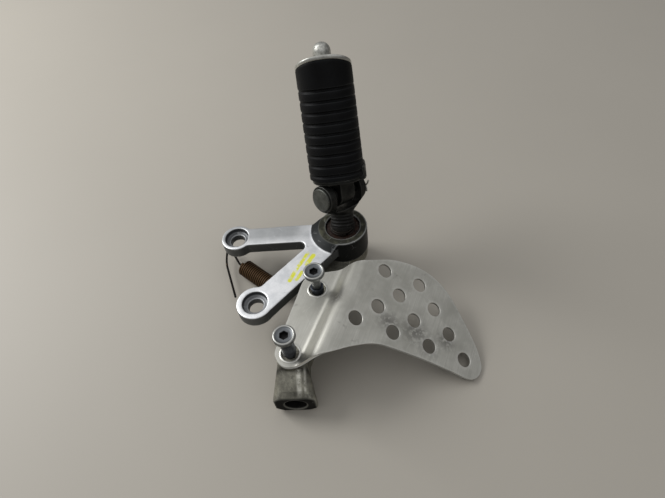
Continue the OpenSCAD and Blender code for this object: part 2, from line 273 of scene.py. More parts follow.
def scratches(graph: Graph, given: Node) -> Socket:
    """Thin broken scratches: the cell walls of a stretched pattern, broken up by a noise.

    Args:
        graph: the group's graph.
        given: the group's input node.

    Returns:
        The mask's socket.
    """
    place = given.outputs["Vector"]
    scale = graph.add("ShaderNodeMath", {0: 1 / MM, 1: given.outputs["Size"]}, operation="DIVIDE")
    bent = graph.add("ShaderNodeTexNoise", {"Vector": place, "Scale": 60.0, "Detail": 1.0})
    moved = graph.add("ShaderNodeVectorMath", {0: bent.outputs["Color"], 1: (0.01, 0.01, 0.01)},
                      operation="MULTIPLY")
    strayed = graph.add("ShaderNodeVectorMath", {0: place, 1: moved.outputs[0]}, operation="ADD")
    cells = graph.add("ShaderNodeTexVoronoi", {"Vector": strayed.outputs[0], "Scale": scale.outputs[0]},
                      feature="DISTANCE_TO_EDGE")
    line = graph.span(cells.outputs["Distance"], 0.0, given.outputs["Width"], 1.0, 0.0)
    broken = graph.add("ShaderNodeTexNoise", {"Vector": place, "Scale": 150.0, "Detail": 2.0})
    kept = graph.span(broken.outputs[0], 0.52, 0.62)
    return graph.add("ShaderNodeMath", {0: line, 1: kept}, operation="MULTIPLY").outputs[0]


def relief(graph: Graph, given: Node) -> Socket:
    """A normal that follows a height of up to a depth in millimetres.

    Args:
        graph: the group's graph.
        given: the group's input node.

    Returns:
        The normal's socket.
    """
    depth = graph.add("ShaderNodeMath", {0: given.outputs["Depth"], 1: MM}, operation="MULTIPLY")
    bump = {"Height": given.outputs["Height"], "Distance": depth.outputs[0], "Strength": 1.0}
    return graph.add("ShaderNodeBump", bump).outputs[0]


@dataclass(frozen=True)
class Recipe:
    """How an effect's node group is made.

    Attributes:
        build: the function that fills the group.
        result: the name of its output.
        kind: the socket type of its output.
        inputs: its inputs with their first values, or None for coordinates.
    """

    build: Callable[[Graph, Node], Socket]
    result: str
    kind: str
    inputs: tuple[tuple[str, float | None], ...]


EFFECTS: dict[Effect, Recipe] = {
    Effect.PATCHES: Recipe(patches, "Mask", "NodeSocketFloat",
                           (("Vector", None), ("Size", 5.0), ("Low", 0.4), ("High", 0.6))),
    Effect.SCRATCHES: Recipe(scratches, "Mask", "NodeSocketFloat",
                             (("Vector", None), ("Size", 9.0), ("Width", 0.01))),
    Effect.RELIEF: Recipe(relief, "Normal", "NodeSocketVector", (("Height", 0.0), ("Depth", 0.1))),
}


def effect_tree(effect: Effect) -> bpy.types.NodeTree:
    """The node group of an effect, made the first time that it is asked for.

    Args:
        effect: which effect.

    Returns:
        The group's node tree.
    """
    made = bpy.data.node_groups.get(effect.value)
    if made is not None:
        return made
    recipe = EFFECTS[effect]
    tree = bpy.data.node_groups.new(effect.value, "ShaderNodeTree")
    for name, start in recipe.inputs:
        form = "NodeSocketVector" if start is None else "NodeSocketFloat"
        socket = tree.interface.new_socket(name=name, in_out="INPUT", socket_type=form)
        if start is not None:
            socket.default_value = start
    tree.interface.new_socket(name=recipe.result, in_out="OUTPUT", socket_type=recipe.kind)
    graph = Graph(tree)
    given = graph.add("NodeGroupInput")
    graph.add("NodeGroupOutput", {0: recipe.build(graph, given)})
    return tree


@dataclass(frozen=True)
class Zone:
    """A region of a finish that a mask on the mesh brings in.

    Attributes:
        mask: the mesh attribute's name.
        colour: its colour.
        rough: its roughness.
        metal: how metallic it is.
        strength: how much of it shows where the mask is full.
        broken: size in millimetres of the noise that breaks it up, or 0.
    """

    mask: str
    colour: Colour
    rough: float = 0.6
    metal: float = 0.6
    strength: float = 1.0
    broken: float = 0.0


@dataclass(frozen=True)
class Finish:
    """A weathered surface: a base colour, cloudy second colour, grain, grime, scratches and zones, some of
    them painted shade or painted highlight.

    Attributes:
        name: the material's name.
        base: main colour.
        cloud: colour of the cloudy patches.
        cloud_mm: size of the patches.
        metal: how metallic it is.
        rough: roughness between the clean and the cloudy places.
        grain: stretch of the fine grain along each axis.
        grain_turn: turn of the grain about Z.
        grain_mm: size of the grain.
        grain_depth: height of the grain in millimetres.
        grain_tint: how far the grain darkens the colour.
        grime: colour of the grime, brought in by a coarse noise.
        grime_amount: share of the surface that has grime, from 0 to 1.
        edge: colour of rubbed edges, partly a painted highlight, at the mesh's own "wear_and_highlight"
            mask.
        edge_amount: how strongly those edges show.
        scratch: how strongly scratches show.
        gloss: level of the plain reflection.
        zones: regions brought in by masks.
    """

    name: str
    base: Colour
    cloud: Colour
    cloud_mm: float = 14.0
    metal: float = 0.85
    rough: Pair = (0.3, 0.45)
    grain: Triple = (1.0, 1.0, 1.0)
    grain_turn: float = 0.0
    grain_mm: float = 0.6
    grain_depth: float = 0.02
    grain_tint: float = 0.2
    grime: Colour = (0.02, 0.018, 0.015, 1.0)
    grime_amount: float = 0.2
    edge: Colour = (0.75, 0.75, 0.74, 1.0)
    edge_amount: float = 0.7
    scratch: float = 0.3
    gloss: float = 0.5
    zones: tuple[Zone, ...] = ()

    def material(self) -> bpy.types.Material:
        """Build the material once and keep it.

        Returns:
            The material.
        """
        made = bpy.data.materials.get(self.name)
        if made is not None:
            return made
        material = bpy.data.materials.new(self.name)
        material.use_nodes = True
        material.node_tree.nodes.clear()
        graph = Graph(material.node_tree)
        place = graph.add("ShaderNodeTexCoord").outputs["Object"]
        cloud = self.cut_noise(graph, place, self.cloud_mm, 0.38, 0.64)
        grained = graph.stretched(place, self.grain, self.grain_turn)
        grain = self.cut_noise(graph, grained, self.grain_mm, 0.3, 0.7)
        clean = 0.72 - 0.4 * self.grime_amount
        dirt = self.cut_noise(graph, place, self.cloud_mm * 0.45, clean, clean + 0.2)
        colour = graph.blend(cloud, self.base, self.cloud)
        dark = graph.blend(graph.maths("MULTIPLY", grain, self.grain_tint), colour, self.cloud)
        colour = graph.blend(graph.maths("MULTIPLY", dirt, 0.8), dark, self.grime)
        rough = graph.span(graph.maths("ADD", cloud, dirt), 0.0, 1.0, *self.rough)
        metal = graph.span(dirt, 0.0, 1.0, self.metal, self.metal * 0.5)
        for zone in self.zones:
            colour, rough, metal = self.with_zone(graph, place, zone, (colour, rough, metal))
        if self.scratch > 0.0:
            lines = graph.group(Effect.SCRATCHES, {"Vector": place, "Size": 11.0, "Width": 0.012})
            colour = graph.blend(graph.maths("MULTIPLY", lines, self.scratch), colour, self.edge)
        # Rubbed edges take the edge colour, partly as a painted highlight.
        worn_and_lit = graph.maths("MULTIPLY", graph.attribute("wear_and_highlight"), self.edge_amount)
        colour = graph.blend(worn_and_lit, colour, self.edge)
        rough = graph.between(worn_and_lit, rough, self.rough[0] * 0.8)
        height = graph.maths("ADD", graph.maths("MULTIPLY", grain, 0.6), graph.maths("MULTIPLY", cloud, 0.4))
        normal = graph.group(Effect.RELIEF, {"Height": height, "Depth": self.grain_depth})
        shader = graph.add("ShaderNodeBsdfPrincipled", {
            "Base Color": colour,
            "Roughness": rough,
            "Metallic": metal,
            "Normal": normal,
            "Specular IOR Level": self.gloss,
        })
        graph.add("ShaderNodeOutputMaterial", {"Surface": shader.outputs[0]})
        return material

    @staticmethod
    def cut_noise(graph: Graph, place: Socket, size: float, low: float,
                  high: float) -> Socket:
        """Patches of a size in millimetres, clear below one level of the noise and full above another.

        Args:
            graph: the material's graph.
            place: the coordinates.
            size: size of the patches.
            low, high: the two levels.

        Returns:
            The mask's socket.
        """
        return graph.group(Effect.PATCHES, {"Vector": place, "Size": size, "Low": low, "High": high})

    @staticmethod
    def with_zone(graph: Graph, place: Socket, zone: Zone,
                  layers: tuple) -> tuple:
        """Lay one zone over colour, roughness and metal.

        Args:
            graph: the material's graph.
            place: the coordinates.
            zone: the zone to lay.
            layers: colour, roughness and metal so far.

        Returns:
            The three with the zone on them.
        """
        mask = graph.maths("MULTIPLY", graph.attribute(zone.mask), zone.strength)
        if zone.broken > 0.0:
            mask = graph.maths("MULTIPLY", mask, Finish.cut_noise(graph, place, zone.broken, 0.36, 0.52))
        colour, rough, metal = layers
        return (graph.blend(mask, colour, zone.colour), graph.between(mask, rough, zone.rough),
                graph.between(mask, metal, zone.metal))


CAST_SATIN = Finish(
    "cast_satin", tone(232, 233, 234), tone(200, 202, 204), cloud_mm=9.0, metal=0.7, rough=(0.4, 0.52),
    grain_mm=0.8, grain_tint=0.35, grain_depth=0.03, grime_amount=0.14, scratch=0.3,
    edge=tone(236, 238, 238), edge_amount=0.5, gloss=0.2, zones=(
        # painted dim reflection: the upper arm is painted darker than the lower arm
        Zone("dim_reflection", tone(138, 140, 140), 0.5, 0.7, 0.75),
        # side walls: partly the cast walls' own darker tone, partly painted shade
        Zone("side", tone(96, 98, 98), 0.5, 0.7),
        # painted shade in the counterbores
        Zone("counterbore", tone(84, 86, 88), 0.5, 0.7, 0.85),
        # painted shade: the slope up to the pad is painted dark
        Zone("slope", tone(30, 32, 32), 0.5, 0.5),
        Zone("pad", tone(84, 84, 70), 0.55, 0.5, 0.95),
        Zone("pad", tone(36, 36, 32), 0.6, 0.4, 0.8, 6.0),
        # painted shadow on the boss's side wall
        Zone("boss", tone(36, 37, 36), 0.5, 0.6, 0.95),
        # painted shade in the sunk seat's recess
        Zone("recess", tone(20, 18, 16), 0.6, 0.3, 0.97),
        Zone("daub", tone(208, 208, 36), 0.6, 0.0, 0.95, 5.0),
    ))
CAST_STAY = Finish(
    "cast_dull", tone(164, 162, 148), tone(112, 110, 101), cloud_mm=8.0, metal=0.7, rough=(0.4, 0.58),
    grain=(1.0, 0.12, 1.0), grain_mm=1.6, grain_tint=0.7, grain_depth=0.05, grime_amount=0.35,
    edge=tone(186, 185, 174), edge_amount=0.5, scratch=0.2, gloss=0.12, zones=(
        # painted shadow of the guard's tab across the lug's neck
        Zone("neck", tone(42, 41, 37), 0.5, 0.4, 0.9),
        # painted highlights along the lug
        Zone("lug_highlight", tone(232, 230, 218), 0.3, 0.9, 0.7, 4.0),
        # painted shade on the lug's end face and in its bore
        Zone("end", tone(12, 12, 11), 0.75, 0.1, 0.98),
    ))
BRUSHED = Finish(
    "brushed_steel", tone(196, 195, 187), tone(170, 169, 161), cloud_mm=22.0, metal=0.9, rough=(0.34, 0.46),
    grain=(1.0, 0.03, 1.0), grain_turn=21.7, grain_mm=0.8, grain_tint=0.7, grain_depth=0.012,
    grime_amount=0.16, edge=tone(222, 222, 217), edge_amount=0.85, scratch=0.35, zones=(
        Zone("smudge", tone(92, 90, 86), 0.5, 0.6, 0.7, 3.0),
        # painted shade on the sheet's underside
        Zone("underside", tone(120, 120, 116), 0.5, 0.8, 0.5),
    ))
ZINC = Finish(
    "dull_zinc", tone(132, 134, 133), tone(94, 96, 96), cloud_mm=5.0, metal=0.9, rough=(0.36, 0.5),
    grime_amount=0.4, edge=tone(206, 206, 200), scratch=0.2, zones=(
        Zone("dish", tone(96, 99, 102), 0.45, 0.8, 0.85),
        # painted shade inside the hex socket
        Zone("socket", tone(9, 9, 11), 0.6, 0.2),
    ))
COLLAR = Finish(
    "blued_collar", tone(76, 82, 90), tone(44, 47, 52), cloud_mm=5.0, metal=0.9, rough=(0.34, 0.5),
    grime_amount=0.45, edge=tone(150, 154, 158))
DARK_STEEL = Finish(
    "black_forging", tone(44, 45, 43), tone(24, 24, 23), cloud_mm=6.0, metal=0.7, rough=(0.36, 0.58),
    grain_mm=0.9, grain_depth=0.05, grime_amount=0.5, edge=tone(104, 104, 100), edge_amount=0.5,
    scratch=0.3, gloss=0.3, zones=(
        Zone("low", tone(17, 15, 14), 0.5, 0.3, 0.9),
        # painted shade in the neck's thread groove
        Zone("groove", tone(5, 5, 5), 0.7, 0.1, 0.9),
    ))
PIN_STEEL = Finish(
    "pin_steel", tone(88, 90, 85), tone(64, 65, 61), cloud_mm=6.0, metal=0.7, rough=(0.42, 0.55),
    grime_amount=0.3, edge=tone(150, 150, 146))
STACK_STEEL = Finish(
    "stack_steel", tone(44, 38, 34), tone(24, 21, 19), cloud_mm=4.0, metal=0.7, rough=(0.35, 0.55),
    grime_amount=0.5, edge=tone(110, 98, 90))
BRONZE = Finish(
    "worn_bronze", tone(62, 42, 34), tone(28, 20, 17), cloud_mm=4.0, metal=0.7, rough=(0.35, 0.55),
    grime_amount=0.6, edge=tone(180, 150, 134))
# its edge colour is a painted highlight on the coil's outer crests
RUST = Finish(
    "brown_rust", tone(19, 15, 11), tone(10, 9, 7), cloud_mm=3.5, metal=0.3, rough=(0.5, 0.75),
    grain_mm=0.5, grain_depth=0.08, grain_tint=0.8, grime_amount=0.4, edge=tone(104, 78, 50),
    edge_amount=0.7, scratch=0.0, gloss=0.12)
# its edge colour lightens the ribs' lips: partly dust, partly a painted highlight strongest on the lit side
RUBBER = Finish(
    "black_rubber", tone(8, 9, 11), tone(5, 5, 6), cloud_mm=12.0, metal=0.0, rough=(0.5, 0.66),
    grain_mm=0.8, grain_depth=0.05, grime_amount=0.1, grime=tone(24, 24, 24), edge=tone(46, 48, 50),
    edge_amount=0.55, scratch=0.0, gloss=0.14)
BRIGHT = Finish(
    "polished_rim", tone(196, 196, 190), tone(162, 162, 156), cloud_mm=5.0, metal=0.9, rough=(0.34, 0.48),
    grime_amount=0.3, edge=tone(228, 228, 222))
FEELER = Finish(
    "feeler_steel", tone(212, 212, 206), tone(142, 142, 136), cloud_mm=3.0, metal=0.85, rough=(0.38, 0.52),
    grain_mm=0.6, grain_depth=0.05, grain_tint=0.6, grime_amount=0.4, edge=tone(230, 230, 226))
PLATED = Finish(
    "plated_nut", tone(128, 124, 110), tone(92, 88, 78), cloud_mm=6.0, metal=0.9, rough=(0.35, 0.5),
    grime_amount=0.4, edge=tone(190, 188, 180))


# Points and meshes


def rounded(corners: Sequence[Pair], radius: float, steps: int = 4,
            closed: bool = False) -> Array:
    """Round the corners of a line.

    Each corner b between a and c becomes the curve (1-t)^2 p + 2t(1-t) b + t^2 q, where p and q lie
    on the two sides, the given radius away from b or at most 0.45 of the side's length.

    Args:
        corners: the line's corners.
        radius: how far from a corner its curve starts.
        steps: pieces per corner.
        closed: whether the line closes on itself.

    Returns:
        The rounded line's points, one row each.
    """
    points = np.array(corners, dtype=float)
    count = len(points)
    line: list[Array] = []
    for i in range(count):
        if not closed and i in (0, count - 1):
            line.append(points[i][None])
            continue
        here, before, after = points[i], points[i - 1], points[(i + 1) % count]
        ways = [side - here for side in (before, after)]
        ends = [here + way / np.linalg.norm(way) * min(radius, 0.45 * np.linalg.norm(way)) for way in ways]
        t = np.linspace(0.0, 1.0, steps + 1)[:, None]
        line.append((1 - t) ** 2 * ends[0] + 2 * t * (1 - t) * here + t ** 2 * ends[1])
    return np.concatenate(line)


def oblong(width: float, depth: float, corner: float, per_corner: int = 14,
           per_side: int = 12) -> Array:
    """Points round an oblong with round corners, always the same number.

    Args:
        width, depth: the oblong's outer size.
        corner: radius of the corners.
        per_corner: steps round each corner.
        per_side: steps along each side.

    Returns:
        The points, anticlockwise from the right-hand side.
    """
    runs: list[Array] = []
    for k, (sx, sy) in enumerate([(1, 1), (-1, 1), (-1, -1), (1, -1)]):
        a = np.radians(np.linspace(90 * k, 90 * k + 90, per_corner + 1))
        centre = np.array([sx * (width / 2 - corner), sy * (depth / 2 - corner)])
        runs.append(centre + corner * np.stack([np.cos(a), np.sin(a)], axis=1))
    points: list[Array] = []
    for k in range(4):
        points.append(runs[k])
        start, end = runs[k][-1], runs[(k + 1) % 4][0]
        t = np.linspace(0.0, 1.0, per_side + 1)[1:-1, None]
        points.append(start + (end - start) * t)
    return np.concatenate(points)


@dataclass
class Shell:
    """A mesh in the making: grids of points, with quads between their rows and columns."""

    points: list[Array] = field(default_factory=list)
    faces: list[list[int]] = field(default_factory=list)
    wear_and_highlight: list[Array] = field(default_factory=list)
    count: int = 0

    def add(self, points: Array, wear_and_highlight: Array | float = 0.0) -> Array:
        """Add points with their wear.

        Args:
            points: the points, in any number of rows and columns.
            wear_and_highlight: wear of each point, or one for all.

        Returns:
            The numbers of the points, laid out as they are.
        """
        flat = points.reshape(-1, 3)
        self.points.append(flat)
        self.wear_and_highlight.append(np.broadcast_to(np.asarray(wear_and_highlight, dtype=float), points.shape[:-1]).reshape(-1))
        numbers = np.arange(self.count, self.count + len(flat)).reshape(points.shape[:-1])
        self.count += len(flat)
        return numbers

    def quads(self, numbers: Array, wrap_rows: bool = False, wrap_columns: bool = True) -> None:
        """Join neighbouring rows and columns of a grid of point numbers.

        Args:
            numbers: the grid of numbers.
            wrap_rows: whether the last row joins the first.
            wrap_columns: whether the last column joins the first.
        """
        rows = np.concatenate([numbers, numbers[:1]]) if wrap_rows else numbers
        grid = np.concatenate([rows, rows[:, :1]], axis=1) if wrap_columns else rows
        corners = [grid[:-1, :-1], grid[:-1, 1:], grid[1:, 1:], grid[1:, :-1]]
        self.faces.extend(np.stack([c.reshape(-1) for c in corners], axis=1).tolist())

    def pole(self, ring: Array, at: Array) -> None:
        """Close a ring with a fan to one point."""
        tip = int(self.add(at.reshape(1, 3))[0])
        self.faces.extend([[int(a), int(b), tip] for a, b in zip(ring, np.roll(ring, -1))])

    def grid(self, points: Array, wrap_rows: bool = False, poles: bool = False,
             wear_and_highlight: Array | float = 0.0) -> Array:
        """Add a grid whose columns close, and close its rows or its two ends.

        Args:
            points: rows by columns by three.
            wrap_rows: whether the last row joins the first.
            poles: whether the first and the last row each close on their middle.
            wear_and_highlight: wear of each point.

        Returns:
            The numbers of the points.
        """
        numbers = self.add(points, wear_and_highlight)
        self.quads(numbers, wrap_rows)
        if poles:
            self.pole(numbers[0], points[0].mean(axis=0))
            self.pole(numbers[-1], points[-1].mean(axis=0))
        return numbers


@dataclass(frozen=True)
class Role:
    """What a piece is in the model.

    Attributes:
        body: the body that it rides on.
        slot: its material slot; not used.
        finish: its finish.
        stands_for: the CAD nodes that it hides.
    """

    body: Body
    slot: Slot
    finish: Finish
    stands_for: tuple[str, ...] = ()


def outward(mesh: Mesh) -> None:
    """Turn every face of a closed mesh outward.

    Args:
        mesh: the mesh, changed in place.
    """
    work = bmesh.new()
    work.from_mesh(mesh)
    bmesh.ops.recalc_face_normals(work, faces=work.faces)
    work.to_mesh(mesh)
    work.free()


def store(mesh: Mesh, name: str, values: Array) -> None:
    """Keep a mask on a mesh, one value per point."""
    mask = mesh.attributes.new(name, "FLOAT", "POINT")
    mask.data.foreach_set("value", np.clip(values, 0.0, 1.0).astype(np.float32))


def fade(values: Array, none: float, full: float) -> Array:
    """Share of the way from one value to another, kept between 0 and 1."""
    return np.clip((values - none) / (full - none), 0.0, 1.0)


def points_of(mesh: Mesh) -> Array:
    """Read a mesh's points.

    Args:
        mesh: the mesh, in metres in the part's frame.

    Returns:
        The points in millimetres, one row each.
    """
    points = np.empty(len(mesh.vertices) * 3)
    mesh.vertices.foreach_get("co", points)
    return points.reshape(-1, 3) / MM


def as_piece(name: str, mesh: Mesh, role: Role, sharp: float = 40.0) -> Piece:
    """Make an object of a mesh, dress it and say what it rides on.

    Args:
        name: the piece's name.
        mesh: its mesh, in metres in the part's frame.
        role: what it is in the model.
        sharp: the angle in degrees from which an edge stays sharp.

    Returns:
        The object.
    """
    mesh.shade_smooth()
    mesh.set_sharp_from_angle(angle=math.radians(sharp))
    piece = bpy.data.objects.new(name, mesh)
    bpy.context.scene.collection.objects.link(piece)
    mesh.materials.clear()
    mesh.materials.append(role.finish.material())
    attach(piece, role.body.value)
    if role.stands_for:
        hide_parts(*role.stands_for)
    log.info("%s: %d faces on %s", name, len(mesh.polygons), role.body.value)
    return piece


def shell_piece(name: str, shell: Shell, place: Place, role: Role, sharp: float = 40.0) -> Piece:
    """Turn a shell of one place's frame into a piece.

    Args:
        name: the piece's name.
        shell: its points and faces, in millimetres.
        place: the frame that the points are in.
        role: what it is in the model.
        sharp: the angle in degrees from which an edge stays sharp.

    Returns:
        The object.
    """
    points = place.out(np.concatenate(shell.points)) * MM
    mesh = bpy.data.meshes.new(name)
    mesh.from_pydata(points.tolist(), [], shell.faces)
    mesh.update()
    store(mesh, "wear_and_highlight", np.concatenate(shell.wear_and_highlight))
    outward(mesh)
    return as_piece(name, mesh, role, sharp)


def turned(profile: Array, segments: int = 72, around: Callable | None = None) -> Array:
    """Turn a profile about Z.

    The point at height z and angle a is (r cos a, r sin a, z), where r is the profile's radius, or
    what the given function makes of the radius, the height and the angle.

    Args:
        profile: rows of radius and height.
        segments: steps round the axis.
        around: a function of radius, height and angle that gives the radius, or nothing.

    Returns:
        Rows by segments by three.
    """
    angle = np.linspace(0.0, 2 * np.pi, segments, endpoint=False)[None, :]
    radius = np.repeat(profile[:, :1], segments, axis=1)
    height = np.repeat(profile[:, 1:], segments, axis=1)
    if around is not None:
        radius = around(radius, height, angle)
    return np.stack([radius * np.cos(angle), radius * np.sin(angle), height], axis=2)


def six_sided(angle: Array, across: float) -> Array:
    """Distance from the middle to the side of a hexagon, by angle."""
    return across / np.cos((angle + np.pi / 6) % (np.pi / 3) - np.pi / 6)


def at_angles(radius: Array | float, angle: Array, height: float) -> Array:
    """Points at a radius, an angle and a height, one row for each angle."""
    return np.stack([radius * np.cos(angle), radius * np.sin(angle), np.full(len(angle), height)], axis=1)


def ring_piece(name: str, place: Place, radii: Pair, span: Pair, soft: float,
               role: Role, way: Array = np.eye(3), segments: int = 72) -> Piece:
    """A ring of oblong section with soft edges.

    Args:
        name: the piece's name.
        place: the frame that it is in.
        radii: its inner and outer radius.
        span: its two faces along its axis.
        soft: how far its corners are rounded.
        role: what it is in the model.
        way: the matrix that turns its axis from Z.
        segments: steps round the axis.

    Returns:
        The object.
    """
    inner, outer = radii
    low, high = span
    section = rounded([(inner, low), (outer, low), (outer, high), (inner, high)], soft, 3, closed=True)
    shell = Shell()
    shell.grid(turned(section, segments) @ way, wrap_rows=True)
    return shell_piece(name, shell, place, role, 35.0)


def swept(path: Array, radius: Array | float, sides: int = 14) -> Array:
    """Carry a circle along a path.

    Ring i is path(i) + r (cos a u + sin a w), where u is the last ring's u with its share along the
    path's direction taken out, and w is at a right angle to both.

    Args:
        path: the middle line's points.
        radius: the radius, or one for each point.
        sides: points round each ring.

    Returns:
        Rows by sides by three.
    """
    ahead = np.gradient(path, axis=0)
    ahead /= np.linalg.norm(ahead, axis=1)[:, None]
    side = np.cross(ahead[0], [1.0, 0.0, 0.0] if abs(ahead[0][0]) < 0.8 else [0.0, 1.0, 0.0])
    sideways = []
    for direction in ahead:
        side = side - side.dot(direction) * direction
        side = side / np.linalg.norm(side)
        sideways.append(side)
    first = np.array(sideways)
    second = np.cross(ahead, first)
    angle = np.linspace(0.0, 2 * np.pi, sides, endpoint=False)[None, :, None]
    reach = np.broadcast_to(np.asarray(radius, dtype=float), (len(path),))[:, None, None]
    return path[:, None] + reach * (np.cos(angle) * first[:, None] + np.sin(angle) * second[:, None])


def wire(path: Array, radius: float, sides: int = 14) -> Shell:
    """A round wire along a path, 0.4 of its radius longer and narrowed to 0.6 of it at each end.

    Args:
        path: the middle line's points.
        radius: the wire's radius.
        sides: points round each ring.

    Returns:
        The wire's shell.
    """
    tips = []
    for end, before in ((path[0], path[1]), (path[-1], path[-2])):
        way = end - before
        tips.append((end + way / np.linalg.norm(way) * radius * 0.4)[None])
    line = np.concatenate([tips[0], path, tips[1]])
    reach = np.full(len(line), radius)
    reach[[0, -1]] = radius * 0.6
    shell = Shell()
    shell.grid(swept(line, reach, sides), poles=True)
    return shell


def cubic(before: Array, start: Array, end: Array, after: Array, count: int) -> Array:
    """Points from start to end on the cubic that leaves each along the chord of its neighbours.

    At t it is half of 2s + (e - b) t + (2b - 5s + 4e - a) t^2 + (3s - b - 3e + a) t^3, where b, s, e
    and a are the four points.

    Args:
        before, start, end, after: four points of a line.
        count: number of points, the end left out.

    Returns:
        The points.
    """
    t = np.linspace(0.0, 1.0, count, endpoint=False)[:, None]
    second = 2 * before - 5 * start + 4 * end - after
    third = 3 * start - before - 3 * end + after
    return 0.5 * (2 * start + (end - before) * t + second * t ** 2 + third * t ** 3)


def flowing(corners: Array, step: float) -> Array:
    """A smooth line through points, at even steps.

    Args:
        corners: the points to pass through.
        step: distance between the points given back.

    Returns:
        The line's points.
    """
    ends = np.concatenate([[2 * corners[0] - corners[1]], corners, [2 * corners[-1] - corners[-2]]])
    runs = [cubic(a, b, c, d, 12) for a, b, c, d in zip(ends[:-3], ends[1:-2], ends[2:-1], ends[3:])]
    line = np.concatenate(runs + [corners[-1:]])
    length = np.concatenate([[0.0], np.cumsum(np.linalg.norm(np.diff(line, axis=0), axis=1))])
    wanted = np.linspace(0.0, length[-1], max(3, int(length[-1] / step)))
    return np.stack([np.interp(wanted, length, line[:, k]) for k in range(3)], axis=1)


# Cast parts


@dataclass
class Skin:
    """A CAD solid rebuilt as one soft skin.

    Attributes:
        node: the CAD node.
        voxel: size of the grid that it is rebuilt on, in millimetres.
        rounds: how often each point moves toward the middle of its neighbours.
        more_rounds: how often it moves again to find what stands out.
        worn_and_lit: how far a place stands out where its wear starts and where it is full.
        mesh: the skin once it is built, in metres.
        points: its points, in millimetres in the part's frame.
        normals: the normals there.
    """

    node: str
    voxel: float
    rounds: int = 5
    more_rounds: int = 10
    worn_and_lit: Pair = (0.05, 0.27)
    mesh: Mesh | None = None
    points: Array | None = None
    normals: Array | None = None

    def build(self) -> None:
        """Copy, merge, rebuild and relax, and measure where the skin is an outer edge.

        Each round moves every point half way to the middle of its neighbours. The edge mask, rubbed edges
        with a painted highlight, grows with how far a point stands out, along its normal, of where more
        rounds would take it.
        """
        copy = bpy.data.objects.new(self.node + "_copy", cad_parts[self.node].data.copy())
        bpy.context.scene.collection.objects.link(copy)
        work = bmesh.new()
        work.from_mesh(copy.data)
        bmesh.ops.remove_doubles(work, verts=work.verts, dist=1e-6)
        work.to_mesh(copy.data)
        work.free()
        remesh = copy.modifiers.new("voxels", "REMESH")
        remesh.mode = "VOXEL"
        remesh.voxel_size = self.voxel * MM
        seen = copy.evaluated_get(bpy.context.evaluated_depsgraph_get())
        self.mesh = bpy.data.meshes.new_from_object(seen)
        self.mesh.name = self.node + "_skin"
        bpy.data.objects.remove(copy)
        points, edges = self.read()
        points = self.relaxed(points, edges, self.rounds)
        soft = self.relaxed(points, edges, self.more_rounds)
        self.mesh.vertices.foreach_set("co", points.reshape(-1))
        self.mesh.update()
        normals = np.empty(len(points) * 3)
        self.mesh.vertices.foreach_get("normal", normals)
        self.points = points / MM
        self.normals = normals.reshape(-1, 3)
        bulge = ((points - soft) * self.normals).sum(axis=1) / MM
        store(self.mesh, "wear_and_highlight", fade(bulge, *self.worn_and_lit))

    def read(self) -> tuple[Array, Array]:
        """The mesh's points and edges as arrays.

        Returns:
            The points, one row each, and the edges as pairs of point numbers.
        """
        points = np.empty(len(self.mesh.vertices) * 3)
        self.mesh.vertices.foreach_get("co", points)
        edges = np.empty(len(self.mesh.edges) * 2, dtype=int)
        self.mesh.edges.foreach_get("vertices", edges)
        return points.reshape(-1, 3), edges.reshape(-1, 2)

    def relaxed(self, points: Array, edges: Array, rounds: int) -> Array:
        """Points moved half way to the middle of their neighbours, again and again.

        Args:
            points: the points.
            edges: pairs of point numbers.
            rounds: how often they move.

        Returns:
            The moved points.
        """
        moved = points.copy()
        for _ in range(rounds):
            moved += 0.5 * (self.middles(moved, edges) - moved)
        return moved

    @staticmethod
    def middles(points: Array, edges: Array) -> Array:
        """For each point, the middle of its neighbours.

        Args:
            points: the points.
            edges: pairs of point numbers.

        Returns:
            The middles, one row for each point.
        """
        total = np.zeros_like(points)
        number = np.zeros(len(points))
        for a, b in ((0, 1), (1, 0)):
            for k in range(3):
                total[:, k] += np.bincount(edges[:, a], points[edges[:, b], k], len(points))
            number += np.bincount(edges[:, a], minlength=len(points))
        return total / number[:, None]


def near_line(points: Array, start: Pair, end: Pair) -> Array:
    """Distance of points from a line between two ends, seen along Z.

    Args:
        points: the points.
        start, end: the line's ends in plan.

    Returns:
        The distance of each point.
    """
    a = np.array(start)
    way = np.array(end) - a
    share = np.clip(((points[:, :2] - a) @ way) / way.dot(way), 0.0, 1.0)
    return np.linalg.norm(points[:, :2] - a - share[:, None] * way, axis=1)


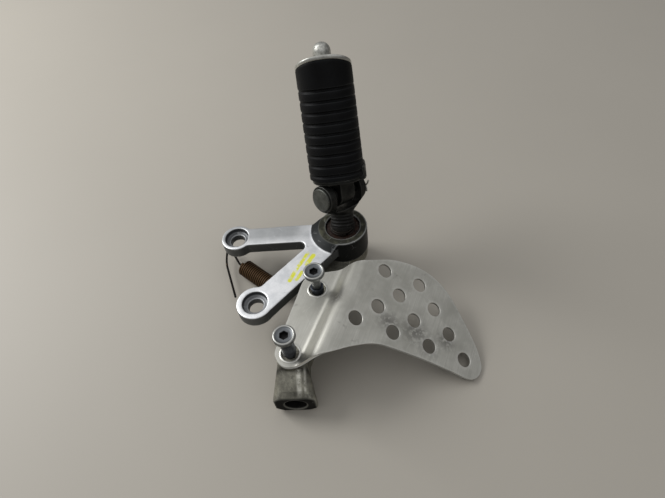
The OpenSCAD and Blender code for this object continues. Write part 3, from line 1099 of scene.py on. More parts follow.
@dataclass
class Bracket:
    """The cast V bracket and the darker stay that is clamped under its peg boss.

    Attributes:
        plate: thickness of the arms.
        pad_r: radius of the raised pad.
        pad_top: height of the pad.
        recess_r: radius of the sunk seat's ring of painted shade.
        counterbore_r: radius of the counterbores.
        band_r: radius from which the slope up to the pad starts.
        dim_reflection_from, dim_reflection_until: where along y and x the painted dim reflection on the
        upper arm fades in.
        daubs: paint daubs on the lower arm, each a line of two ends and its half width.
        lug_end: how far toward the viewer the lug reaches.
        lug_bore: x and z of the bore's axis in the lug's end.
        lug_bore_r: radius of that bore.
        lug_neck: where the lug is narrowest.
        lug_highlights: painted highlights along the lug, each its place along x and its half width.
        bores: places of the two mounting bores.
    """

    plate: float = 10.0
    pad_r: float = 18.6
    pad_top: float = 14.0
    recess_r: float = 12.7
    counterbore_r: float = 9.1
    band_r: float = 25.0
    dim_reflection_from: Pair = (-9.0, -1.0)
    dim_reflection_until: Pair = (66.0, 44.0)
    daubs: tuple[tuple[Pair, Pair, float], ...] = (
        ((44.0, -43.6), (49.8, -31.0), 1.5), ((49.0, -43.0), (52.6, -36.6), 1.3),
        ((51.0, -29.6), (56.4, -19.6), 1.4), ((56.0, -29.6), (60.6, -22.0), 1.7))
    lug_end: float = -125.8
    lug_bore: Pair = (48.4, -14.6)
    lug_bore_r: float = 7.25
    lug_neck: float = -110.0
    lug_highlights: tuple[Pair, ...] = ((52.6, 1.6), (56.4, 0.7))
    bores: tuple[Pair, ...] = ((0.0, 0.0), (20.0, -60.5))

    def build(self) -> None:
        """Build and dress the bracket and the stay."""
        self.build_hanger()
        self.build_stay()

    def build_hanger(self) -> None:
        """Rebuild the bracket and mask its sides, its slope, its pad and its paint; side walls, slope, boss,
        recess and counterbores get painted shade and the upper arm a painted dim reflection.
        """
        skin = Skin("hanger", 0.5, 9)
        skin.build()
        points, normals = skin.points, skin.normals
        from_boss = np.linalg.norm(points[:, :2] - np.array(BOSS.origin[:2]), axis=1)
        up = normals[:, 2]
        x, y, z = points.T
        # Side walls: partly the cast walls' own darker tone, partly painted shade.
        store(skin.mesh, "side", fade(up, 0.75, 0.4))
        # The slope up to the pad is painted dark as shade.
        banked = fade(from_boss, self.band_r + 0.3, self.band_r - 0.5)
        store(skin.mesh, "slope", banked * (z > self.plate - 0.6))
        store(skin.mesh, "pad", fade(from_boss, self.pad_r + 0.2, self.pad_r - 0.6) * fade(up, 0.0, 0.6)
              * (z > self.pad_top - 1.4))
        # The sunk seat's recess is painted dark as shade.
        store(skin.mesh, "recess", fade(from_boss, self.recess_r + 0.9, self.recess_r))
        # The counterbores are painted darker as shade.
        bored = np.zeros(len(points))
        for bore in self.bores:
            reach = np.linalg.norm(points[:, :2] - np.array(bore), axis=1)
            bored = np.maximum(bored, fade(reach, self.counterbore_r + 0.5, self.counterbore_r))
        store(skin.mesh, "counterbore", bored * (z < self.plate - 0.35))
        # The boss's side wall is painted dark as shadow.
        store(skin.mesh, "boss", fade(from_boss, self.pad_r + 1.0, self.pad_r + 0.5) * fade(up, 0.7, 0.4)
              * (from_boss > self.pad_r - 1.5))
        # Painted dim reflection: the upper arm is painted darker.
        store(skin.mesh, "dim_reflection", fade(y, *self.dim_reflection_from) * fade(x, *self.dim_reflection_until))
        paint = np.zeros(len(points))
        for start, end, half in self.daubs:
            paint = np.maximum(paint, fade(near_line(points, start, end), half + 0.25, half - 0.25))
        store(skin.mesh, "daub", paint * (z > self.plate - 0.5) * (up > 0.8))
        role = Role(Body.BRACKET, Slot.CAST_BRACKET, CAST_SATIN, ("hanger",))
        as_piece("hanger_casting", skin.mesh, role, ALL_SOFT)

    def build_stay(self) -> None:
        """Rebuild the stay and mask its end face and bore, painted as shade, its neck, painted with the
        tab's shadow, and painted highlights along the lug.
        """
        skin = Skin("guard_stay", 0.5, 6)
        skin.build()
        points, normals = skin.points, skin.normals
        x, y, z = points.T
        # The end face and the bore are painted dark as shade.
        from_bore = np.hypot(x - self.lug_bore[0], z - self.lug_bore[1])
        bored = fade(from_bore, self.lug_bore_r + 0.6, self.lug_bore_r + 0.2) * (y < self.lug_end + 13.0)
        face = fade(-normals[:, 1], 0.55, 0.85) * (y < self.lug_end + 4.0)
        store(skin.mesh, "end", np.maximum(face, bored))
        # The neck under the tab is painted dark as the tab's shadow.
        store(skin.mesh, "neck", fade(np.abs(y - self.lug_neck), 4.0, 0.0))
        # Bright lines along the lug are painted highlights.
        lines = np.zeros(len(points))
        for across, half in self.lug_highlights:
            lines = np.maximum(lines, fade(np.abs(x - across), half + 0.42, half - 0.98))
        flank = fade(y, self.lug_neck + 2.0, self.lug_neck - 1.0) * fade(y, self.lug_end, self.lug_end + 4.0)
        store(skin.mesh, "lug_highlight", lines * flank * fade(normals[:, 2], 0.0, 0.4))
        role = Role(Body.BRACKET, Slot.CAST_STAY, CAST_STAY, ("guard_stay",))
        as_piece("stay_casting", skin.mesh, role, ALL_SOFT)


# The heel guard


@dataclass
class HeelGuard:
    """The folded sheet: a flat tab, a step up through two bends, then the long drilled panel.

    Attributes:
        sheet: thickness.
        tab_z: height of the tab's underside.
        first_bend, second_bend: where the bends lie across the guard's frame.
        rise: how far the step goes up.
        slope: slope of the panel in degrees.
        bend: radius of both bends.
        edge: corners that the outline passes smoothly.
        pitch: pitch of the holes' square grid.
        grid_turn: turn of that grid in degrees.
        cells: the holes' places in the grid.
        hole_r: radius of those holes.
        fixings: the two mounting holes in the part's frame.
        fixing_r: radius of those.
        bevel: width of the broken edges.
        mesh_step: distance between the inner points of the sheet's mesh.
        mesh_span: where those points start and stop along x and along y.
        bend_rows: where the closer rows over the bends start and end, and their number.
        smudges: smudged places in the guard's frame, each x, y and reach.
        profile: the middle line seen from the side, once it is laid out.
    """

    sheet: float = 2.0
    tab_z: float = 10.0
    first_bend: float = -22.8
    second_bend: float = -11.9
    rise: float = 9.3
    slope: float = 29.5
    bend: float = 8.0
    edge: tuple[Pair, ...] = (
        (-10, 42), (10, 56.5), (31, 61.8), (49, 56), (67, 40), (80, 25.5), (85.2, 13.5), (80.5, 3.8),
        (66, 1.6), (49, -0.8), (31, -4.4), (17, -8.5), (5, -17.6), (-8, -31), (-19, -40), (-30.5, -46.2),
        (-39.8, -41), (-41.6, -31), (-43, -14), (-44.4, 4), (-45.3, 17.5), (-41.5, 25), (-32, 29.8))
    pitch: float = 20.0
    grid_turn: float = 54.6
    cells: tuple[tuple[int, int], ...] = ((0, 0), (1, 0), (2, 0), (3, 0), (1, 1), (2, 1), (3, 1), (2, 2),
                                          (3, 2), (3, 3), (2, -1))
    hole_r: float = 5.0
    fixings: tuple[Pair, ...] = ((64.5, -53.5), (47.7, -101.6))
    fixing_r: float = 5.8
    bevel: float = 0.3
    mesh_step: float = 2.1
    mesh_span: tuple[Pair, Pair] = ((-47.0, 87.0), (-48.0, 64.0))
    bend_rows: tuple[float, float, int] = (-26.0, -8.0, 15)
    smudges: tuple[Triple, ...] = ((38.0, 14.0, 13.0), (49.0, 9.0, 10.0), (20.0, 10.0, 10.0),
                                   (-17.0, 9.0, 6.0), (58.0, 20.0, 9.0))
    profile: Array = field(default_factory=lambda: np.zeros((0, 2)))

    def fold(self) -> None:
        """Lay out the sheet's middle line seen from its side: straight runs joined by round bends."""
        low = self.tab_z + self.sheet / 2
        near, far = -60.0, 100.0
        drop = (far - self.second_bend) * math.tan(math.radians(self.slope))
        corners = [np.array(p) for p in ((near, low), (self.first_bend, low),
                                         (self.second_bend, low + self.rise), (far, low + self.rise - drop))]
        line = [corners[0]]
        for a, b, c in zip(corners, corners[1:], corners[2:]):
            line.extend(self.arc(a, b, c))
        self.profile = np.array(line + [corners[3]])

    def arc(self, a: Array, b: Array, c: Array, steps: int = 16) -> list[Array]:
        """The arc of the bend radius that joins the runs a to b and b to c.

        Args:
            a, b, c: three corners of the middle line.
            steps: pieces of the arc.

        Returns:
            The arc's points.
        """
        before = (b - a) / np.linalg.norm(b - a)
        after = (c - b) / np.linalg.norm(c - b)
        side = np.sign(before[0] * after[1] - before[1] * after[0])
        turn = math.acos(float(before.dot(after)))
        start = b - before * self.bend * math.tan(turn / 2)
        centre = start + side * self.bend * np.array([-before[1], before[0]])
        arm = start - centre
        angles = side * turn * np.linspace(0.0, 1.0, steps + 1)
        return [centre + np.array([arm[0] * math.cos(t) - arm[1] * math.sin(t),
                                   arm[0] * math.sin(t) + arm[1] * math.cos(t)]) for t in angles]

    def lifted(self, flat: Array, offset: Array | float) -> Array:
        """Carry plan points onto the folded sheet.

        The height is read from the middle line at x, and the point moves by the offset along the
        line's normal.

        Args:
            flat: x and y in the guard's frame.
            offset: distance above the middle line.

        Returns:
            The points in the guard's frame.
        """
        height = np.interp(flat[:, 0], self.profile[:, 0], self.profile[:, 1])
        reach = 0.15
        fore = np.interp(flat[:, 0] + reach, self.profile[:, 0], self.profile[:, 1])
        back = np.interp(flat[:, 0] - reach, self.profile[:, 0], self.profile[:, 1])
        lean = (fore - back) / (2 * reach)
        size = np.sqrt(1 + lean ** 2)
        return np.stack([flat[:, 0] - lean / size * offset, flat[:, 1], height + offset / size], axis=1)

    def outline(self) -> Array:
        """The outline, on the same smooth closed curve as the solid's.

        Returns:
            Its points in plan.
        """
        points = np.array(self.edge, dtype=float)
        corners = [np.roll(points, shift, axis=0) for shift in (1, 0, -1, -2)]
        return np.concatenate([cubic(*four, 14) for four in zip(*corners)])

    def holes(self) -> list[tuple[Array, float, float]]:
        """The drilled holes on their turned square grid, then the two mounting holes.

        Returns:
            For each hole its centre in plan, its radius and its squeeze along x.
        """
        turn = math.radians(self.grid_turn)
        fall = math.radians(self.slope)
        found = []
        for across, down in self.cells:
            along = self.pitch * (across * math.cos(turn) + down * math.sin(turn))
            aside = self.pitch * (across * math.sin(turn) - down * math.cos(turn))
            found.append((np.array([along * math.cos(fall), aside]), self.hole_r, math.cos(fall)))
        for at in self.fixings:
            place = GUARD.into(np.array([[at[0], at[1], 0.0]]))[0]
            found.append((place[:2], self.fixing_r, 1.0))
        return found

    @staticmethod
    def loop(centre: Array, radius: float, squeeze: float, count: int = 72) -> Array:
        """Plan points round a hole, clockwise."""
        angle = -np.linspace(0.0, 2 * np.pi, count, endpoint=False)
        return centre + radius * np.stack([squeeze * np.cos(angle), np.sin(angle)], axis=1)

    @staticmethod
    def shrunk(loop: Array, inward: float) -> Array:
        """A loop moved to its left by a distance, so an anticlockwise one shrinks.

        Args:
            loop: the loop's points.
            inward: the distance.

        Returns:
            The moved loop.
        """
        along = np.roll(loop, -1, axis=0) - np.roll(loop, 1, axis=0)
        along /= np.linalg.norm(along, axis=1)[:, None]
        return loop + inward * np.stack([-along[:, 1], along[:, 0]], axis=1)

    def faces_of(self, loops: list[Array]) -> tuple[Array, Array]:
        """Fill the plan between the outline and the holes with triangles.

        Args:
            loops: the outline first, then the holes.

        Returns:
            The plan points, loops first, and the triangles.
        """
        along = np.concatenate([np.arange(*self.mesh_span[0], self.mesh_step), np.linspace(*self.bend_rows)])
        across = np.arange(*self.mesh_span[1], self.mesh_step)
        inner = np.stack(np.meshgrid(along, across, indexing="ij"), axis=2).reshape(-1, 2)
        margin = 0.7
        keep = self.within(inner, loops[0])
        for loop in loops[1:]:
            centre = loop.mean(axis=0)
            widest = np.linalg.norm(loop - centre, axis=1).max()
            keep &= np.linalg.norm(inner - centre, axis=1) > widest + margin
        gap = np.min(np.linalg.norm(inner[:, None] - loops[0][None], axis=2), axis=1)
        inner = inner[keep & (gap > margin)]
        points = np.concatenate(loops + [inner])
        edges = []
        start = 0
        for loop in loops:
            edges += [(start + k, start + (k + 1) % len(loop)) for k in range(len(loop))]
            start += len(loop)
        result = delaunay_2d_cdt([Vector(p) for p in points.tolist()], edges, [], 0, 1e-7)
        placed = np.array([list(p) for p in result[0]])
        triangles = np.array([list(f) for f in result[2]])
        middle = placed[triangles].mean(axis=1)
        good = self.within(middle, loops[0])
        for loop in loops[1:]:
            good &= ~self.within(middle, loop)
        return placed, triangles[good]

    @staticmethod
    def within(points: Array, loop: Array) -> Array:
        """Which points lie inside a closed loop, by counting crossings of a level line.

        Args:
            points: the points.
            loop: the loop's points.

        Returns:
            True for each point inside.
        """
        ahead = np.roll(loop, -1, axis=0)
        inside = np.zeros(len(points), dtype=bool)
        for (x0, y0), (x1, y1) in zip(loop, ahead):
            crosses = (y0 > points[:, 1]) != (y1 > points[:, 1])
            if abs(y1 - y0) > 1e-12:
                where = x0 + (points[:, 1] - y0) * (x1 - x0) / (y1 - y0)
                inside ^= crosses & (points[:, 0] < where)
        return inside

    def build(self) -> None:
        """Build the sheet with broken edges and dress it."""
        self.fold()
        walls = [self.outline()] + [self.loop(*hole) for hole in self.holes()]
        inner = [self.shrunk(wall, self.bevel) for wall in walls]
        flat, triangles = self.faces_of(inner)
        shell = Shell()
        half = self.sheet / 2
        numbers = {}
        rims = sum(len(loop) for loop in inner)
        # Broken edges are rubbed and carry a painted highlight, brightest round the outline.
        rim_wear_and_highlight, outline_wear_and_highlight, hole_wear_and_highlight = 0.3, 0.8, 0.2
        edge_wear_and_highlight = np.where(np.arange(len(flat)) < rims, rim_wear_and_highlight, 0.0)
        for side in (1.0, -1.0):
            numbers[side] = shell.add(self.lifted(flat, side * half), edge_wear_and_highlight)
            shell.faces.extend(numbers[side][triangles[:, ::int(side)]].tolist())
        start = 0
        for wall in walls:
            count = len(wall)
            rows = [numbers[1.0][start:start + count]]
            for offset in (half - self.bevel, self.bevel - half):
                rows.append(shell.add(self.lifted(wall, offset), outline_wear_and_highlight if start == 0 else hole_wear_and_highlight))
            rows.append(numbers[-1.0][start:start + count])
            shell.quads(np.array(rows))
            start += count
        role = Role(Body.BRACKET, Slot.BRUSHED_SHEET, BRUSHED, ("heel_guard",))
        piece = shell_piece("guard_sheet", shell, GUARD, role, 30.0)
        self.mask(piece.data)
        for name, at in zip(("upper", "lower"), self.fixings):
            self.build_eyelet(name, Place((at[0], at[1], self.tab_z + self.sheet)))

    def build_eyelet(self, name: str, place: Place) -> None:
        """The low raised rim round a mounting hole.

        Args:
            name: which hole.
            place: its frame, on the sheet's upper face.
        """
        sunk, low, high = -0.4, 0.35, 0.5
        section = rounded([(self.fixing_r, sunk), (self.fixing_r + 1.5, sunk), (self.fixing_r + 1.3, low),
                           (self.fixing_r + 0.1, high)], 0.25, 3, closed=True)
        shell = Shell()
        shell.grid(turned(section, 64), wrap_rows=True, wear_and_highlight=0.5)
        role = Role(Body.BRACKET, Slot.BRUSHED_SHEET, BRUSHED)
        shell_piece("guard_rim_" + name, shell, place, role)

    def mask(self, mesh: Mesh) -> None:
        """Keep where the sheet is smudged, and its underside, which is painted darker as shade.

        Args:
            mesh: the sheet's mesh.
        """
        points = GUARD.into(points_of(mesh))
        smudge = np.zeros(len(points))
        for x, y, reach in self.smudges:
            smudge = np.maximum(smudge, 1.0 - np.hypot(points[:, 0] - x, points[:, 1] - y) / reach)
        store(mesh, "smudge", smudge * 1.2)
        height = np.interp(points[:, 0], self.profile[:, 0], self.profile[:, 1])
        # The underside is painted darker as shade.
        store(mesh, "underside", (height - points[:, 2] > self.sheet / 4).astype(float))


# The guard's screws


@dataclass
class GuardScrews:
    """Two flanged socket screws, both backed out, with their spacer sleeves.

    Attributes:
        places: where the screws stand.
        tops: heights of their heads.
        low: height of the shanks' ends.
        shank_r: radius of a shank.
        flange_r: radius of a head's round flange.
        flange_t: its thickness.
        neck_r: radius of the narrow end of the cone under it.
        head_t: height of cone and flange together.
        socket: half the width across the flats of the socket.
        socket_r: radius of the flat ring round it.
        dish: how far that ring lies under the head's rim.
        socket_deep: depth of the socket.
        sleeve_r: outer radius of a sleeve.
        sleeve_bore: inner radius of a sleeve.
        sleeves: lower and upper height of each sleeve.
    """

    places: tuple[Pair, ...] = ((64.5, -53.5), (47.7, -101.6))
    tops: Pair = (34.5, 37.0)
    low: float = -11.0
    shank_r: float = 3.0
    flange_r: float = 7.2
    flange_t: float = 3.4
    neck_r: float = 4.6
    head_t: float = 7.0
    socket: float = 2.6
    socket_r: float = 3.8
    dish: float = 0.7
    socket_deep: float = 4.0
    sleeve_r: float = 4.5
    sleeve_bore: float = 3.15
    sleeves: tuple[Pair, ...] = ((10.0, 16.0), (14.0, 30.0))

    def build(self) -> None:
        """Build and dress both screws and both sleeves."""
        for name, at, top, sleeve in zip(("upper", "lower"), self.places, self.tops, self.sleeves):
            place = Place((at[0], at[1], 0.0))
            self.build_screw(name, place, top)
            self.build_sleeve(name, place, sleeve)

    def build_screw(self, name: str, place: Place, top: float) -> None:
        """One screw: shank, cone, round flange, dished top and hexagon socket.

        Args:
            name: which screw.
            place: its frame.
            top: height of its head's top.
        """
        r = self.flange_r
        cone, under, ring = top - self.head_t, top - self.flange_t, top - self.dish
        corners = [(0.6, self.low), (self.shank_r - 0.5, self.low), (self.shank_r, self.low + 0.7),
                   (self.shank_r, cone), (self.neck_r, cone), (self.neck_r + 1.0, under), (r - 0.4, under),
                   (r, under + 0.4), (r, top - 0.6), (r - 0.6, top), (r - 1.3, top), (r - 2.0, top - 0.5),
                   (self.socket_r + 0.4, ring), (self.socket_r, ring)]
        outside = rounded(corners, 0.35, 3)
        shell = Shell()
        body = shell.add(turned(outside), self.head_rim_wear_and_highlight(outside, top))
        shell.quads(body)
        shell.pole(body[0], np.array([0.0, 0.0, self.low]))
        angle = np.linspace(0.0, 2 * np.pi, body.shape[1], endpoint=False)
        rows = [body[-1]]
        for reach, depth in ((self.socket + 0.25, self.dish), (self.socket, self.dish + 0.3),
                             (self.socket, self.socket_deep - 0.6), (self.socket - 0.4, self.socket_deep)):
            rows.append(shell.add(at_angles(six_sided(angle, reach), angle, top - depth)))
        shell.quads(np.array(rows))
        shell.pole(rows[-1], np.array([0.0, 0.0, top - self.socket_deep]))
        role = Role(Body.BRACKET, Slot.ZINC_STEEL, ZINC, ("guard_bolt_" + name,))
        piece = shell_piece("guard_screw_" + name, shell, place, role, 30.0)
        local = place.into(points_of(piece.data))
        reach = np.hypot(local[:, 0], local[:, 1])
        below = top - local[:, 2]
        # The socket is painted near black as shade.
        store(piece.data, "socket", (reach < self.socket_r - 0.1) * (below < self.socket_deep + 0.5)
              * (below > self.dish + 0.1))
        store(piece.data, "dish", (reach < self.flange_r - 1.6) * (below < self.dish + 0.3))

    def head_rim_wear_and_highlight(self, profile: Array, top: float) -> Array:
        """Rubbed rim of the head with a painted highlight, as one column for the rows of its profile."""
        rim = fade(np.abs(profile[:, 1] - top), 0.6, 0.0) * (profile[:, 0] > self.flange_r - 1.5)
        return 0.8 * rim[:, None]

    def build_sleeve(self, name: str, place: Place, span: Pair) -> None:
        """One spacer sleeve with broken edges.

        Args:
            name: which screw it is on.
            place: the screw's frame.
            span: its lower and upper height.
        """
        role = Role(Body.BRACKET, Slot.ZINC_STEEL, COLLAR, ("guard_collar_" + name,))
        radii = (self.sleeve_bore, self.sleeve_r)
        ring_piece("guard_sleeve_" + name, place, radii, span, 0.4, role, segments=56)


# The clevis and what clamps it


@dataclass
class PegHolder:
    """The steel clevis on its threaded stem, with the bush, washers and nut that clamp it.

    Attributes:
        seat: height of the sunk seat in the boss.
        seat_r: radius of that seat.
        bottom: height of the boss's underside.
        flange: thickness of the bush's flange.
        bush_r: radius of the bush's sleeve.
        stem_r: radius of the stem.
        spring_t: thickness of the spring washer.
        washer_t, washer_r: thickness and radius of the plain washer.
        back: height of the stay's underside, where the back washer lies.
        stem_end: height of the stem's end.
        pitch: pitch of the stem's thread.
        neck: height of the neck's foot.
        head_base: how far under the hinge the neck ends.
        neck_pitch, neck_ridge: pitch and depth of the ridge round the neck.
        neck_reach: distance from the neck's axis at which the ridge ends.
        rear_t, rear_r: thickness and radius of the back washer.
        nut_t: thickness of the back nut.
        nut_across: width of the nut across its corners, before they are turned down.
    """

    seat: float = 11.0
    seat_r: float = 12.7
    bottom: float = -8.0
    flange: float = 1.2
    bush_r: float = 8.0
    stem_r: float = 6.0
    spring_t: float = 2.2
    washer_t: float = 1.6
    washer_r: float = 9.2
    back: float = -18.0
    stem_end: float = -27.0
    pitch: float = 1.75
    neck: float = 16.0
    head_base: float = -15.0
    neck_pitch: float = 2.6
    neck_ridge: float = 0.7
    neck_reach: float = 10.5
    rear_t: float = 1.5
    rear_r: float = 12.0
    nut_t: float = 6.5
    nut_across: float = 22.0

    def build(self) -> None:
        """Build and dress the whole stack from the top down."""
        skin = Skin("peg_holder", 0.42, 5)
        skin.build()
        self.cut_thread(skin)
        store(skin.mesh, "low", fade(skin.points[:, 2], 30.0, 22.0))
        role = Role(Body.BRACKET, Slot.DARK_STEEL, DARK_STEEL, ("peg_holder",))
        as_piece("holder_forging", skin.mesh, role, ALL_SOFT)
        self.build_bush()
        top = self.seat + self.flange
        self.build_spring_washer(top)
        top += self.spring_t
        role = Role(Body.BRACKET, Slot.ZINC_STEEL, STACK_STEEL, ("holder_washer",))
        radii = (self.stem_r + 0.1, self.washer_r)
        ring_piece("holder_top_washer", BOSS, radii, (top, top + self.washer_t), 0.35, role)
        role = Role(Body.BRACKET, Slot.ZINC_STEEL, PLATED, ("holder_back_washer",))
        radii = (self.stem_r + 0.3, self.rear_r)
        low = self.back - self.rear_t
        ring_piece("holder_rear_washer", BOSS, radii, (low, self.back), 0.35, role)
        self.build_nut(low)
        self.build_thread()

    def cut_thread(self, skin: Skin) -> None:
        """Wind a ridge round the neck: each point moves out by a triangular wave of height less angle.

        Args:
            skin: the clevis's skin.
        """
        foot = np.array([BOSS.origin[0], BOSS.origin[1], self.neck])
        head = PEG.out(np.array([[0.0, 0.0, self.head_base]]))[0]
        axis = (head - foot) / np.linalg.norm(head - foot)
        side = np.cross([0.0, 1.0, 0.0], axis)
        side /= np.linalg.norm(side)
        away = skin.points - foot
        height = away @ axis
        angle = np.arctan2(away @ np.cross(axis, side), away @ side)
        wave = 1.0 - np.abs(2.0 * ((height / self.neck_pitch - angle / (2 * np.pi)) % 1.0) - 1.0)
        length = np.linalg.norm(head - foot)
        on_neck = fade(height, -1.0, 0.0) * fade(height, length, length - 2.0)
        from_axis = np.linalg.norm(away - height[:, None] * axis, axis=1)
        on_neck *= fade(from_axis, self.neck_reach, self.neck_reach - 1.0)
        moved = skin.points + skin.normals * (on_neck * self.neck_ridge * (wave - 0.5))[:, None]
        skin.mesh.vertices.foreach_set("co", (moved * MM).reshape(-1))
        skin.mesh.update()
        # The thread's groove is painted near black as shade.
        store(skin.mesh, "groove", on_neck * np.clip(1.0 - 1.8 * wave, 0, 1))

    def build_bush(self) -> None:
        """The flanged bush that lines the boss."""
        inner = self.stem_r + 0.15
        section = rounded([(inner, self.bottom), (self.bush_r, self.bottom), (self.bush_r, self.seat),
                           (self.seat_r, self.seat), (self.seat_r, self.seat + self.flange),
                           (inner, self.seat + self.flange)], 0.3, 3, closed=True)
        shell = Shell()
        shell.grid(turned(section, 72), wrap_rows=True)
        role = Role(Body.BRACKET, Slot.BRONZE, BRONZE, ("holder_bush",))
        shell_piece("boss_bush", shell, BOSS, role, 35.0)

    def build_spring_washer(self, low: float) -> None:
        """The split spring washer: a square section carried once round, rising by its own half.

        Args:
            low: height of its underside.
        """
        inner, outer, tall = self.stem_r + 0.2, 9.6, self.spring_t * 0.62
        section = rounded([(inner, 0.0), (outer, 0.0), (outer, tall), (inner, tall)], 0.3, 3, closed=True)
        split_at, split = -70.0, 12.0
        angle = np.radians(np.linspace(split_at + split / 2, split_at + 360.0 - split / 2, 90))
        lift = (self.spring_t - tall) * np.linspace(0.0, 1.0, len(angle))
        rows = np.stack([section[None, :, 0] * np.cos(angle)[:, None],
                         section[None, :, 0] * np.sin(angle)[:, None],
                         section[None, :, 1] + lift[:, None] + low], axis=2)
        shell = Shell()
        shell.grid(rows, poles=True)
        role = Role(Body.BRACKET, Slot.ZINC_STEEL, STACK_STEEL, ("holder_spring_washer",))
        shell_piece("split_washer", shell, BOSS, role, 35.0)

    def build_nut(self, top: float) -> None:
        """The back nut: a hexagon whose corners are turned down at both faces.

        Args:
            top: height of its upper face.
        """
        low = top - self.nut_t
        flats = self.nut_across / 2 * math.cos(math.pi / 6)
        inner = self.stem_r + 0.1
        beyond = self.nut_across
        upper = [(inner + 0.6, top, False), (flats - 0.3, top, False), (flats + 0.3, top - 0.35, True),
                 (beyond, top - 1.0, True)]
        lower = [(radius, low + top - height, sixfold) for radius, height, sixfold in reversed(upper)]
        bore = [(inner, low + 0.6, False), (inner, top - 0.6, False)]
        angle = np.linspace(0.0, 2 * np.pi, 96, endpoint=False)
        grid = []
        for radius, height, sixfold in upper + lower + bore:
            reach = np.minimum(six_sided(angle, flats), radius) if sixfold else radius
            grid.append(at_angles(reach, angle, height))
        shell = Shell()
        shell.grid(np.array(grid), wrap_rows=True)
        role = Role(Body.BRACKET, Slot.ZINC_STEEL, PLATED, ("holder_nut",))
        shell_piece("back_nut", shell, BOSS, role, 25.0)

    def build_thread(self) -> None:
        """The thread on the stem's end: the radius rises and falls with height plus angle."""
        heights = np.arange(self.stem_end + 0.3, self.back - 0.2, 0.22)
        profile = np.stack([np.full(len(heights), self.stem_r), heights], axis=1)

        def ridge(radius: Array, height: Array, angle: Array) -> Array:
            """Radius with a triangular ridge that winds up by one pitch a turn."""
            phase = (height / self.pitch - angle / (2 * np.pi)) % 1.0
            return radius + 0.05 - 0.35 * np.abs(2 * phase - 1)

        shell = Shell()
        shell.grid(turned(profile, 64, ridge), poles=True)
        shell_piece("stem_thread", shell, BOSS, Role(Body.BRACKET, Slot.DARK_STEEL, PIN_STEEL), 30.0)


@dataclass
class Hinge:
    """The hinge pin with its washer and split pin, and the spring that folds the peg back.

    Attributes:
        pin_r: radius of the pin.
        head_r: radius of its flat head.
        head_x: the head's outer face along the pin.
        head_t: thickness of the head.
        tip_x: the pin's far end.
        washer_radii: the end washer's inner and outer radius.
        washer_x: its two faces along the pin.
        cotter_x: where the split pin crosses.
        cotter_wire: radius of its wire.
        cotter_eye: radius of its eye.
        spring_r: radius of the folding spring's coil.
        spring_wire: radius of its wire.
        spring_x: where the coil starts and ends along the pin.
        turns: its number of turns.
    """

    pin_r: float = 4.0
    head_r: float = 8.5
    head_x: float = -20.0
    head_t: float = 1.5
    tip_x: float = 22.0
    washer_radii: Pair = (4.15, 7.0)
    washer_x: Pair = (18.5, 19.5)
    cotter_x: float = 20.5
    cotter_wire: float = 0.62
    cotter_eye: float = 1.5
    spring_r: float = 5.9
    spring_wire: float = 0.6
    spring_x: Pair = (-12.0, -8.0)
    turns: int = 3

    def build(self) -> None:
        """Build and dress the pin, its washer, the split pin and the spring."""
        self.build_pin()
        self.build_washer()
        self.build_cotter()
        self.build_spring()

    def build_pin(self) -> None:
        """The pin: a flat head at one end and a broken edge at the other."""
        r, head_r, under = self.pin_r, self.head_r, self.head_x + self.head_t
        profile = rounded([(0.5, self.head_x), (head_r - 0.5, self.head_x), (head_r, self.head_x + 0.5),
                           (head_r, under), (r, under), (r, self.tip_x - 0.7), (r - 0.7, self.tip_x),
                           (0.5, self.tip_x)], 0.3, 3)
        shell = Shell()
        shell.grid(turned(profile, 56) @ ALONG_PIN, poles=True)
        role = Role(Body.BRACKET, Slot.ZINC_STEEL, PIN_STEEL, ("clevis_pin",))
        shell_piece("hinge_pin", shell, PEG, role, 35.0)

    def build_washer(self) -> None:
        """The thin washer between the right ear and the split pin."""
        role = Role(Body.BRACKET, Slot.ZINC_STEEL, PIN_STEEL, ("pin_washer",))
        ring_piece("pin_end_washer", PEG, self.washer_radii, self.washer_x, 0.25, role, ALONG_PIN, 48)

    def build_cotter(self) -> None:
        """The split pin: an eye at the back, a double leg through the pin, and bent ends."""
        x, half_gap = self.cotter_x, 0.35
        angle = np.radians(np.linspace(-60.0, 240.0, 15))
        eye = np.stack([x + self.cotter_eye * np.cos(angle), 9.6 + self.cotter_eye * np.sin(angle),
                        np.zeros(len(angle))], axis=1)
        straight = np.array([[0.0, 7.0, 0.0], [0.0, 0.0, 0.0], [0.0, -6.5, 0.0]])
        left = np.concatenate([straight + [x + half_gap, 0.0, 0.0],
                               [[x + 0.6, -8.6, 1.2], [x + 0.9, -9.8, 3.6]]])
        right = np.concatenate([straight + [x - half_gap, 0.0, 0.0],
                                [[x - 0.3, -8.0, -1.2], [x - 0.2, -8.2, -4.6]]])
        shell = wire(flowing(np.concatenate([left[::-1], eye, right]), 0.45), self.cotter_wire, 10)
        role = Role(Body.BRACKET, Slot.BRIGHT_STEEL, BRIGHT, ("split_pin",))
        shell_piece("split_wire", shell, PEG, role, 50.0)

    def build_spring(self) -> None:
        """The coil round the pin: x grows evenly with the angle, and both ends run out straight."""
        first, last = self.spring_x
        r = self.spring_r
        angle = np.radians(np.linspace(0.0, 360.0 * self.turns, 40 * self.turns))
        along = np.linspace(first, last, len(angle))
        coil = np.stack([along, r * np.cos(angle), r * np.sin(angle)], axis=1)
        lead = np.array([[first, r, -9.8], [first, r, -5], [first, r, -2]])
        tail = np.array([[last, r, 3], [last, r + 0.3, 6]])
        path = flowing(np.concatenate([lead, coil, tail]), 0.5)
        role = Role(Body.BRACKET, Slot.RUSTY_WIRE, DARK_STEEL, ("peg_spring",))
        shell_piece("folding_spring", wire(path, self.spring_wire, 10), PEG, role, 60.0)


